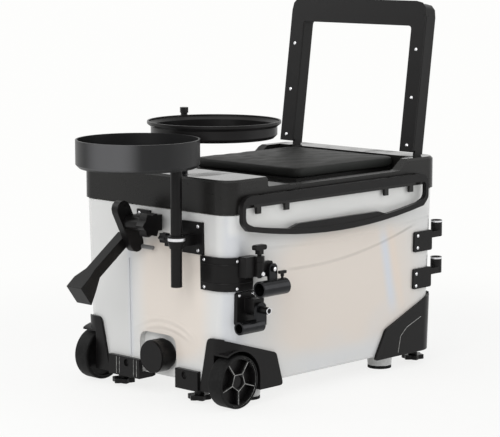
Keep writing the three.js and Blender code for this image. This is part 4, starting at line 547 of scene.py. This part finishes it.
def tray_plastic(tints):
    """The left tray's dark plastic, with a painted sheen on its outer wall where a lamp to the left
    front is reflected.
    """
    paint = Paint("tray_plastic", Specular_IOR_Level=0.16)
    low, high = (Vector(corner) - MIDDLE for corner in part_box("lower_tray"))
    radius = (high.x - low.x) / 2
    x, y, _ = paint.axes()
    across, along = x - (low.x + high.x) / 2, y - (low.y + high.y) / 2
    reach = (across * across + along * along).maths("SQRT")
    outside = paint.smooth(reach, radius - 0.005, radius - 0.002)
    # Painted reflection: a sheen on the part of the outer wall that faces left and a little to the
    # front, with stretched noise in it
    faced = paint.smooth((across * -0.94 - along * 0.35) / reach, 0.86, 1.0)
    sheen = paint.noise(9.0, 3.0, 0.6, (1, 1, 0.12)) * 0.2 + faced * 0.85
    fine = paint.noise(800.0, 2.0)
    dark, painted_sheen_tint = shaded(tints.tray, 0.3), shaded(tints.tray, 2.4)
    paint.feed("Base Color", paint.mix(sheen * outside, dark, painted_sheen_tint))
    paint.feed("Roughness", sheen * 0.16 + fine * 0.05 + 0.32)
    paint.bump(fine, 0.0001, 0.5)
    return paint.material


def pin_plastic(tints):
    """The pull pin's mid grey plastic."""
    paint = Paint("pin_plastic")
    cloud = paint.noise(60.0, 3.0)
    paint.feed("Base Color", paint.mix(cloud, shaded(tints.pin, 0.8), shaded(tints.pin, 1.2)))
    paint.feed("Roughness", cloud * 0.15 + 0.3)
    paint.bump(paint.noise(900.0, 2.0), 0.00008, 0.5)
    return paint.material


def anodised_tube(tints):
    """Dark anodised aluminium with drawing lines along it."""
    paint = Paint("anodised_tube", Metallic=0.8, Specular_IOR_Level=0.3)
    lines = paint.noise(60.0, 4.0, 0.6, (1, 1, 0.08))
    spots = paint.noise(700.0, 2.0)
    paint.feed("Base Color", paint.mix(lines, shaded(tints.tube, 1.0), shaded(tints.tube, 2.4)))
    paint.feed("Roughness", lines * 0.12 + 0.18)
    paint.bump(lines + spots * 0.3, 0.00006, 0.5)
    return paint.material


def bright_steel(tints):
    """Plated steel, brushed and slightly clouded."""
    paint = Paint("bright_steel", Metallic=1.0)
    brushed = paint.noise(300.0, 3.0, 0.6, (0.2, 1, 1))
    cloud = paint.noise(35.0, 3.0)
    paint.feed("Base Color", paint.mix(cloud, shaded(tints.steel, 0.85), tuple(tints.steel)))
    paint.feed("Roughness", brushed * 0.12 + cloud * 0.1 + 0.16)
    paint.bump(brushed, 0.00003, 0.4)
    return paint.material


def worn_trim(tints):
    """Thin ribs and lines, rubbed pale in patches; the pale grey also stands in for the bright
    edges that they catch, a painted highlight.
    """
    paint = Paint("worn_trim", Metallic=0.3)
    wear = paint.noise(160.0, 4.0, 0.7)
    rubbed = paint.smooth(wear, 0.35, 0.6)
    paint.feed("Base Color", paint.mix(rubbed, shaded(tints.trim, 0.35), tuple(tints.trim)))
    paint.feed("Roughness", wear * 0.2 + 0.3)
    return paint.material


FINISHES = {}
# Nodes that show another finish than their material slot's
LOOKS = {
    "lower_tray": "tray_plastic",
    "tray_post": "black_plastic",
    "index_pin": "pin_plastic",
}


def mix_finishes():
    """Makes each finish once, under the name of the record's material slot or of its own look."""
    tints = bpy.context.scene.seat_box_colours
    lid_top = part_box("lid_shell")[1][2]
    FINISHES.update(
        white_shell=pearl_shell(tints),
        liner_plastic=liner_plastic(tints),
        insulation=foam_beads(tints),
        lid_plastic=moulded("lid_plastic", tints.lid, 0.28, 420.0, 0.22, lid_top),
        black_plastic=moulded("black_plastic", tints.black, 0.30, 900.0, 0.15),
        pad_foam=pad_skin(tints),
        rubber_seal=rubber(tints),
        tyre_rubber=tyre_rubber(tints),
        anodised_tube=anodised_tube(tints),
        bright_steel=bright_steel(tints),
        worn_trim=worn_trim(tints),
        tray_plastic=tray_plastic(tints),
        pin_plastic=pin_plastic(tints),
    )


def look_of(node):
    """The name of the finish that a node shows."""
    return LOOKS.get(node, NODE_SLOT[node])


# Meshes


def linked(name, mesh):
    """A new object with that mesh, in the scene."""
    piece = bpy.data.objects.new(name, mesh)
    bpy.context.scene.collection.objects.link(piece)
    return piece


def baked(piece):
    """The piece with its modifiers turned into plain mesh."""
    bpy.context.view_layer.update()
    graph = bpy.context.evaluated_depsgraph_get()
    mesh = bpy.data.meshes.new_from_object(
        piece.evaluated_get(graph), preserve_all_data_layers=True, depsgraph=graph
    )
    piece.modifiers.clear()
    old, piece.data = piece.data, mesh
    bpy.data.meshes.remove(old)
    return piece


def finish_with(piece, look, body, *nodes):
    """Gives a piece its finish and its body, and hides the nodes that it stands for."""
    piece.data.materials.clear()
    piece.data.materials.append(FINISHES[look])
    slot = NODE_SLOT[nodes[0]] if nodes else look
    slot in NODE_SLOT.values()
    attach(piece, body)
    if nodes:
        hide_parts(*nodes)
    return piece


def outward(mesh, sharp=35):
    """Turns the faces of closed shapes outwards, and keeps edges that turn far sharp."""
    work = bmesh.new()
    work.from_mesh(mesh)
    bmesh.ops.remove_doubles(work, verts=work.verts, dist=0.000005)
    bmesh.ops.recalc_face_normals(work, faces=work.faces)
    work.to_mesh(mesh)
    work.free()
    for polygon in mesh.polygons:
        polygon.use_smooth = True
    mesh.set_sharp_from_angle(angle=math.radians(sharp))


def turned(name, profiles, steps=64):
    """Bodies of revolution. A profile has a centre, an axis, and points in millimetres.

    Each point is a radius and a place along the axis.
    """
    mesh = bpy.data.meshes.new(name)
    work = bmesh.new()
    for centre, axis, points in profiles:
        axis = Vector(axis).normalized()
        side = axis.orthogonal().normalized()
        rim = [
            work.verts.new(centre + side * radius * MM + axis * along * MM)
            for radius, along in points
        ]
        edges = [work.edges.new(pair) for pair in zip(rim, rim[1:] + rim[:1])]
        bmesh.ops.spin(
            work, geom=rim + edges, cent=centre, axis=axis,
            angle=2 * math.pi, steps=steps, use_merge=True,
        )
    work.to_mesh(mesh)
    work.free()
    outward(mesh)
    return linked(name, mesh)


def grown(name, tree, points, edges=(), attributes=None, **inputs):
    """A piece that a Geometry Nodes tree grows on points and edges, as plain mesh."""
    mesh = bpy.data.meshes.new(name)
    mesh.from_pydata(points, list(edges), [])
    for title, values in (attributes or {}).items():
        vectors = isinstance(values[0], Vector)
        made = mesh.attributes.new(title, "FLOAT_VECTOR" if vectors else "FLOAT", "POINT")
        if vectors:
            made.data.foreach_set("vector", [number for vector in values for number in vector])
        else:
            made.data.foreach_set("value", values)
    piece = linked(name, mesh)
    modifier = piece.modifiers.new(name, "NODES")
    modifier.node_group = tree
    for title, value in inputs.items():
        modifier[tree.interface.items_tree[title].identifier] = value
    baked(piece)
    outward(piece.data)
    return piece


def tidy_copy(node, name):
    """A node's mesh with its points joined and its flat faces merged."""
    mesh = frame["nodes"][node].data.copy()
    piece = linked(name, mesh)
    work = bmesh.new()
    work.from_mesh(mesh)
    bmesh.ops.remove_doubles(work, verts=work.verts, dist=0.00002)
    bmesh.ops.dissolve_limit(
        work, angle_limit=math.radians(0.8), verts=work.verts, edges=work.edges,
        use_dissolve_boundaries=False,
    )
    work.to_mesh(mesh)
    work.free()
    return piece


def softened(node, edge):
    """A piece that stands for a node: the same shape with its sharp edges rounded."""
    piece = tidy_copy(node, node + "_soft")
    for polygon in piece.data.polygons:
        polygon.use_smooth = True
    bevel = piece.modifiers.new("Edges", "BEVEL")
    bevel.width = edge
    bevel.segments = 3
    bevel.limit_method = "ANGLE"
    bevel.angle_limit = math.radians(36)
    bevel.use_clamp_overlap = True
    bevel.miter_outer = "MITER_ARC"
    bevel.harden_normals = False
    weighted = piece.modifiers.new("Normals", "WEIGHTED_NORMAL")
    weighted.keep_sharp = True
    weighted.weight = 60
    baked(piece)
    return finish_with(piece, look_of(node), NODE_BODY[node], node)


# Where the details are, in millimetres about the middle of the box

LARGE = (
    "outer_shell", "lid_shell", "carry_handle", "corner_guard_near", "corner_guard_far",
    "cradle_head", "drain_cap",
)
# The body's outside at its rim, its rim's height, its corners and its draft
HALF_LENGTH, HALF_WIDTH, RIM, CORNER, DRAFT = 285, 190.5, 343, 32, 0.02
GUARD_FACE = 196.45
# The backrest's fold, its lean, and its posts' front face and spacing
FOLD_X, FOLD_Z, LEAN, POST_FACE, POST_SIDE = 246, 396, math.radians(7.7), 17, 157
# The hub's cap, the ends of its ribs and its ring, a pale bead that stands in for the highlight on
# the tyre's shoulder (a painted highlight), and the tyre's wall and rounding
HUB_CAP, HUB_REACH, HUB_HIGHLIGHT_RING = 16.5, 40.5, 44.1
TYRE_WALL, TYRE_SHOULDER = 4, 2.6
# The rings in the pad: their centre, where they are deepest, how far they spread, their spacing,
# and how far down from the top they go
SWIRL_CENTRE, SWIRL_DEEPEST, SWIRL_SPREAD = (170, -20, 0), (45, 70, 0), (75, 65)
SWIRL_STEP, SWIRL_LAYER = 30, 8

LEFTWARD, NEARWARD, UPWARD = (-1, 0, 0), (0, -1, 0), (0, 0, 1)


def backrest_screw(side, rise):
    """A screw on the front of a backrest's post, at a rise along it."""
    sine, cosine = math.sin(LEAN), math.cos(LEAN)
    place = (
        FOLD_X - POST_FACE * cosine + rise * sine,
        side * POST_SIDE,
        FOLD_Z + POST_FACE * sine + rise * cosine,
    )
    return place, (-cosine, 0, sine), 1.2


# Each screw has a place, the way that it faces, and a size beside the others
SCREWS = {
    "box": [
        ((-289.0, -135.4, 264.0), LEFTWARD, 1.0), ((-288.6, -135.4, 215.5), LEFTWARD, 1.0),
        ((-265.7, -194.7, 264.0), NEARWARD, 1.0), ((-265.8, -193.9, 215.5), NEARWARD, 1.0),
        ((-258.0, -191.9, 202.5), NEARWARD, 1.0), ((-225.0, -191.9, 202.5), NEARWARD, 1.0),
        ((226.4, -192.9, 255.5), NEARWARD, 1.1), ((226.0, -192.7, 232.5), NEARWARD, 1.1),
        ((224.7, -191.5, 182.1), NEARWARD, 1.1), ((224.3, -191.3, 159.0), NEARWARD, 1.1),
        ((-289.0, -120.5, 319.9), LEFTWARD, 1.1), ((-289.0, -120.5, 278.0), LEFTWARD, 1.1),
        ((-289.0, 29.0, 330.0), LEFTWARD, 1.1), ((-289.0, 29.0, 307.0), LEFTWARD, 1.1),
    ],
    "backrest": [backrest_screw(side, rise) for side in (-1, 1) for rise in (27.5, 118.5, 210.5)],
}


def body_ring(z, grow, start, end):
    """Points round the body's outside, grown by a margin, from its left end to its near side."""
    come = DRAFT * (RIM - z) - grow
    across, along, radius = HALF_LENGTH - come, HALF_WIDTH - come, CORNER + grow
    turns = [math.pi / 2 * step / 10 for step in range(11)]
    corner = [
        (-across + radius - radius * math.cos(turn), -along + radius - radius * math.sin(turn), z)
        for turn in turns
    ]
    return [(-across, start, z)] + corner + [(end, -along, z)]


def guard_line(side):
    """The bead that runs down a corner guard."""
    return [
        (x, side * (GUARD_FACE - DRAFT * (RIM - z)), z)
        for x, z in ((238.8, 98), (197.8, 82.8), (179.9, 67.6), (173.7, 35.9))
    ]


# The guard beads and socket ribs are pale trim, which also stands in for their bright edges:
# painted highlights
LINES = {
    "worn_trim": [guard_line(-1), guard_line(1)]
    + [[(-288.1, y, 27), (-288.1, y, 58)] for y in (41, 49, 87, 95)],
    "black_plastic": [body_ring(z, 6.0, -127.5, -227.5) for z in (257.6, 224)],
}


def band(inner, outer, low, high):
    """The section of a ring, between two radii and two places along its axis."""
    return [(inner, low), (outer, low), (outer, high), (inner, high)]


# A collar on the tray's post, two bright rims on the pole clips that stand in for the highlights on
# their tubes' front rims (painted highlights), and the discs on the bolts' ends
BANDS = {
    "box": [
        ((-327, -106, 0), UPWARD, band(15.0, 15.95, 298, 303)),
        # Painted highlights: bright rings where the pole clips' tube rims catch the light
        ((296, -181, 0), UPWARD, band(10.6, 11.4, 274.6, 277.6)),
        ((296, -181, 0), UPWARD, band(10.6, 11.4, 203.1, 206.1)),
        ((-231, -222.6, 241), NEARWARD, [(0, 0), (4.2, 0), (4.2, 0.9), (3.4, 1.6), (0, 1.6)]),
    ],
    "yoke": [((-208, -229.4, 248), NEARWARD, [(0, 0), (3.6, 0), (3.6, 0.5), (3.0, 0.9), (0, 0.9)])],
    "clamp_pin": [((-232, -237.6, 178), NEARWARD, band(4.6, 6.2, 0, 0.9))],
}


# Pieces


class SEATBOX_OT_finishes(bpy.types.Operator):
    """Make the finishes and give each node of the frame its own"""

    bl_idname = "seatbox.finishes"
    bl_label = "Finishes"

    def execute(self, context):
        mix_finishes()
        for node, piece in frame["nodes"].items():
            finish = FINISHES[look_of(node)]
            if not piece.material_slots:
                piece.data.materials.append(finish)
            for slot in piece.material_slots:
                slot.material = finish
        return {"FINISHED"}


class SEATBOX_OT_mouldings(bpy.types.Operator):
    """Round the edges of the body, the lid and the other large mouldings"""

    bl_idname = "seatbox.mouldings"
    bl_label = "Large mouldings"

    def execute(self, context):
        edge = context.scene.seat_box_sizes.large_edge
        for node in LARGE:
            softened(node, edge)
        return {"FINISHED"}


class SEATBOX_OT_fittings(bpy.types.Operator):
    """Round the edges of the brackets, knobs, trays, frames, rods and seals"""

    bl_idname = "seatbox.fittings"
    bl_label = "Fittings"

    def execute(self, context):
        sizes = context.scene.seat_box_sizes
        for node, slot in NODE_SLOT.items():
            elsewhere = node in LARGE or node == "seat_pad" or slot == "tyre_rubber"
            if not elsewhere and slot != "insulation":
                hard = slot in ("bright_steel", "rubber_seal", "anodised_tube")
                softened(node, sizes.hard_edge if hard else sizes.small_edge)
        return {"FINISHED"}


class SEATBOX_OT_tyres(bpy.types.Operator):
    """Make the solid tyres with rounded shoulders"""

    bl_idname = "seatbox.tyres"
    bl_label = "Tyres"

    def execute(self, context):
        for side in ("near", "far"):
            node = "tyre_" + side
            low, high = (Vector(corner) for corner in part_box(node))
            radius, half = (high.z - low.z) / 2 / MM, (high.y - low.y) / 2 / MM
            across = [(radius - TYRE_WALL, half)]
            for step in range(6):
                turn = math.pi / 2 * step / 5
                across.append((
                    radius - TYRE_SHOULDER + TYRE_SHOULDER * math.sin(turn),
                    half - TYRE_SHOULDER + TYRE_SHOULDER * math.cos(turn),
                ))
            profile = across + [(reach, -along) for reach, along in reversed(across)]
            piece = turned(node + "_soft", [((low + high) / 2, (0, 1, 0), profile)], 96)
            finish_with(piece, "tyre_rubber", NODE_BODY[node], node)
        return {"FINISHED"}


class SEATBOX_OT_seat_pad(bpy.types.Operator):
    """Make the seat pad: foam that swells its skin between crisp edges, with shallow rings"""

    bl_idname = "seatbox.seat_pad"
    bl_label = "Seat pad"

    def execute(self, context):
        sizes = context.scene.seat_box_sizes
        piece = tidy_copy("seat_pad", "seat_pad_soft")
        voxels = piece.modifiers.new("Voxels", "REMESH")
        voxels.mode = "VOXEL"
        voxels.voxel_size = sizes.pad_voxel
        baked(piece)
        swell(piece, sizes.pad_swell)
        finer = piece.modifiers.new("Finer", "SUBSURF")
        finer.levels = finer.render_levels = 1
        baked(piece)
        swirl(piece.data, sizes.wave_depth)
        outward(piece.data, 22)
        finish_with(piece, "pad_foam", "lid", "seat_pad")
        return {"FINISHED"}


def swell(piece, reach):
    """Cloth filled with air: the top moves by no more than a reach, and the rest stays."""
    start = [vertex.co.copy() for vertex in piece.data.vertices]
    below = [vertex.index for vertex in piece.data.vertices if vertex.normal.z < 0.9]
    piece.vertex_groups.new(name="held").add(below, 1.0, "REPLACE")
    cloth = piece.modifiers.new("Cloth", "CLOTH")
    cloth.settings.use_pressure = True
    cloth.settings.uniform_pressure_force = 4
    cloth.settings.vertex_group_mass = "held"
    cloth.settings.effector_weights.gravity = 0
    cloth.point_cache.frame_end = 20
    scene = bpy.context.scene
    for moment in range(1, 21):
        scene.frame_set(moment)
    baked(piece)
    scene.frame_set(1)
    for vertex, old in zip(piece.data.vertices, start):
        vertex.co = old + Vector(max(-reach, min(reach, away)) for away in vertex.co - old)


def swirl(mesh, depth):
    """Shallow rings pressed into the far left of the pad's top, about a point on it."""
    centre, deepest = spot(*SWIRL_CENTRE), spot(*SWIRL_DEEPEST)
    wide, long = (spread * MM for spread in SWIRL_SPREAD)
    top = max(vertex.co.z for vertex in mesh.vertices)
    for vertex in mesh.vertices:
        place, away = vertex.co - centre, vertex.co - deepest
        turns = math.hypot(place.x, place.y) / (SWIRL_STEP * MM)
        fade = math.exp(-((away.x / wide) ** 2) - (away.y / long) ** 2)
        if vertex.co.z > top - SWIRL_LAYER * MM:
            vertex.co.z -= depth * fade * (0.5 + 0.5 * math.cos(2 * math.pi * turns))


class SEATBOX_OT_details(bpy.types.Operator):
    """Add the screws, the hubs' ribs, the moulded lines and the bright bands, rims and pin ends"""

    bl_idname = "seatbox.details"
    bl_label = "Details"

    def execute(self, context):
        sizes = context.scene.seat_box_sizes
        add_screws(sizes)
        add_hub_ribs(sizes)
        add_lines(sizes)
        for body, profiles in BANDS.items():
            placed = [(spot(*centre), axis, points) for centre, axis, points in profiles]
            finish_with(turned("bands_" + body, placed), "bright_steel", body)
        return {"FINISHED"}


def add_screws(sizes):
    """The heads of the screws, as one piece for each body."""
    heads = screw_heads()
    for body, screws in SCREWS.items():
        places, facings, factors = zip(*screws)
        piece = grown(
            "screws_" + body, heads, [spot(*place) for place in places],
            attributes={
                "facing": [Vector(facing).normalized() for facing in facings],
                "size": list(factors),
            },
            Radius=sizes.screw_radius, Finish=FINISHES["bright_steel"],
        )
        finish_with(piece, "bright_steel", body)


def add_hub_ribs(sizes):
    """The thin ribs on the outer face of each hub."""
    ribs = hub_ribs()
    for side, way in (("near", -1), ("far", 1)):
        low, high = (Vector(corner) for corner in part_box("hub_" + side))
        middle = (low + high) / 2
        face = Vector((middle.x, (low if way < 0 else high).y, middle.z))
        piece = grown(
            "hub_ribs_" + side, ribs, [face], attributes={"facing": [Vector((0, way, 0))]},
            Rib=sizes.rib_radius, Cap=HUB_CAP * MM, Reach=HUB_REACH * MM, Ring=HUB_HIGHLIGHT_RING * MM,
            Spokes=sizes.spokes, Finish=FINISHES["worn_trim"],
        )
        finish_with(piece, "worn_trim", NODE_BODY["hub_" + side])


def add_lines(sizes):
    """The moulded lines, as one piece for each finish."""
    beads = moulded_lines()
    for look, chains in LINES.items():
        points, edges = [], []
        for chain in chains:
            edges += [(len(points) + i, len(points) + i + 1) for i in range(len(chain) - 1)]
            points += [spot(*place) for place in chain]
        piece = grown(
            "lines_" + look, beads, points, edges,
            Radius=sizes.line_radius, Finish=FINISHES[look],
        )
        finish_with(piece, look, "box")


# Each lamp has a place in millimetres about the box, a width in metres and a power in watts
LAMPS = {
    "key": ((-2000, -900, 1300), 1.5, 26),
    "fill": ((1300, -2100, 1100), 1.8, 16),
    "top": ((0, 100, 2300), 1.6, 7),
    "rim": ((-1200, 1700, 1500), 1.2, 8),
}
FLOOR_RADIUS = 9  # metres


class SEATBOX_OT_stage(bpy.types.Operator):
    """Make the camera, the lamps, the floor and the white surroundings"""

    bl_idname = "seatbox.stage"
    bl_label = "Stage"

    def execute(self, context):
        scene = context.scene
        view = scene.seat_box_view
        azimuth, elevation = math.radians(view.azimuth), math.radians(view.elevation)
        back = Vector((
            math.sin(azimuth) * math.cos(elevation),
            -math.cos(azimuth) * math.cos(elevation),
            math.sin(elevation),
        ))
        right = Vector((math.cos(azimuth), math.sin(azimuth), 0))
        up = back.cross(right)
        aim = spot(0, 0, 200) + right * view.aim_right + up * view.aim_up
        camera = bpy.data.objects.new("camera", bpy.data.cameras.new("camera"))
        camera.data.sensor_width = 36
        camera.data.lens = view.lens
        camera.data.clip_end = 30
        camera.matrix_world = Matrix.Translation(aim + back * view.distance) @ Matrix((
            (right.x, up.x, back.x, 0),
            (right.y, up.y, back.y, 0),
            (right.z, up.z, back.z, 0),
            (0, 0, 0, 1),
        ))
        scene.collection.objects.link(camera)
        scene.camera = camera
        scene.view_settings.view_transform = "Standard"
        for name, (place, size, power) in LAMPS.items():
            lamp(name, spot(*place), size, power)
        white_world(scene)
        floor = linked("floor", bpy.data.meshes.new("floor"))
        work = bmesh.new()
        bmesh.ops.create_circle(work, cap_ends=True, segments=64, radius=FLOOR_RADIUS)
        work.to_mesh(floor.data)
        work.free()
        floor.data.materials.append(floor_paper())
        return {"FINISHED"}


def lamp(name, place, size, power):
    """A soft square lamp that looks at the box."""
    light = bpy.data.lights.new(name, "AREA")
    light.size = size
    light.energy = power
    holder = bpy.data.objects.new(name, light)
    turn = (place - spot(0, 0, 220)).to_track_quat("Z", "Y")
    holder.matrix_world = Matrix.Translation(place) @ turn.to_matrix().to_4x4()
    bpy.context.scene.collection.objects.link(holder)


def white_world(scene):
    """Soft light from all round, seen as plain white."""
    world = bpy.data.worlds.new("surroundings")
    world.use_nodes = True
    nodes = Nodes(world.node_tree)
    nodes.tree.nodes.clear()
    seen = nodes.node("ShaderNodeBackground", {0: (*WHITE, 1.0), 1: 1.0})
    light = nodes.node("ShaderNodeBackground", {0: (0.97, 0.98, 1.0, 1.0), 1: 0.5})
    mixed = nodes.node("ShaderNodeMixShader", {0: nodes.shown_rays(), 1: light, 2: seen})
    out = nodes.tree.nodes.new("ShaderNodeOutputWorld")
    nodes.tree.links.new(mixed.socket, out.inputs[0])
    scene.world = world


def floor_paper():
    """A white floor that takes the box's shadow and turns into the background further out."""
    paint = Paint("floor_paper", Roughness=0.9, Specular_IOR_Level=0.1)
    fibres = paint.noise(6.0, 2.0)
    paint.feed("Base Color", paint.mix(fibres, (0.93, 0.93, 0.925), (0.95, 0.95, 0.945)))
    glow = paint.node("ShaderNodeEmission", {0: (*WHITE, 1.0), 1: 1.0})
    x, y, _ = paint.axes()
    away = paint.smooth((x * x + y * y).maths("SQRT"), 0.55, 1.3)
    share = paint.shown_rays() * (away * 0.18 + 0.82)
    surface = Value(paint, paint.shader.outputs[0])
    shown = paint.node("ShaderNodeMixShader", {0: share, 1: surface, 2: glow})
    out = next(node for node in paint.tree.nodes if node.type == "OUTPUT_MATERIAL")
    paint.tree.links.new(shown.socket, out.inputs[0])
    return paint.material


class SEATBOX_PT_panel(bpy.types.Panel):
    """The seat box's operators, sizes and colours"""

    bl_label = "Seat box"
    bl_idname = "SEATBOX_PT_panel"
    bl_space_type = "VIEW_3D"
    bl_region_type = "UI"
    bl_category = "Seat box"

    def draw(self, context):
        for step in STEPS:
            self.layout.operator(step.bl_idname)
        scene = context.scene
        for group in (scene.seat_box_sizes, scene.seat_box_colours, scene.seat_box_view):
            box = self.layout.box()
            for name in group.bl_rna.properties.keys():
                if name not in ("rna_type", "name"):
                    box.prop(group, name)


STEPS = (
    SEATBOX_OT_stage,
    SEATBOX_OT_finishes,
    SEATBOX_OT_mouldings,
    SEATBOX_OT_fittings,
    SEATBOX_OT_tyres,
    SEATBOX_OT_seat_pad,
    SEATBOX_OT_details,
)
GROUPS = (
    ("seat_box_colours", SeatBoxColours),
    ("seat_box_sizes", SeatBoxSizes),
    ("seat_box_view", SeatBoxView),
)


def register():
    for name, group in GROUPS:
        bpy.utils.register_class(group)
        setattr(bpy.types.Scene, name, PointerProperty(type=group))
    for kind in (*STEPS, SEATBOX_PT_panel):
        bpy.utils.register_class(kind)


def unregister():
    for kind in (SEATBOX_PT_panel, *reversed(STEPS)):
        bpy.utils.unregister_class(kind)
    for name, group in reversed(GROUPS):
        delattr(bpy.types.Scene, name)
        bpy.utils.unregister_class(group)


def main():
    """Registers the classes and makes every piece."""
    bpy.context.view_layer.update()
    register()
    for step in STEPS:
        getattr(bpy.ops.seatbox, step.bl_idname.split(".")[1])()


if __name__ == "__main__":
    main()
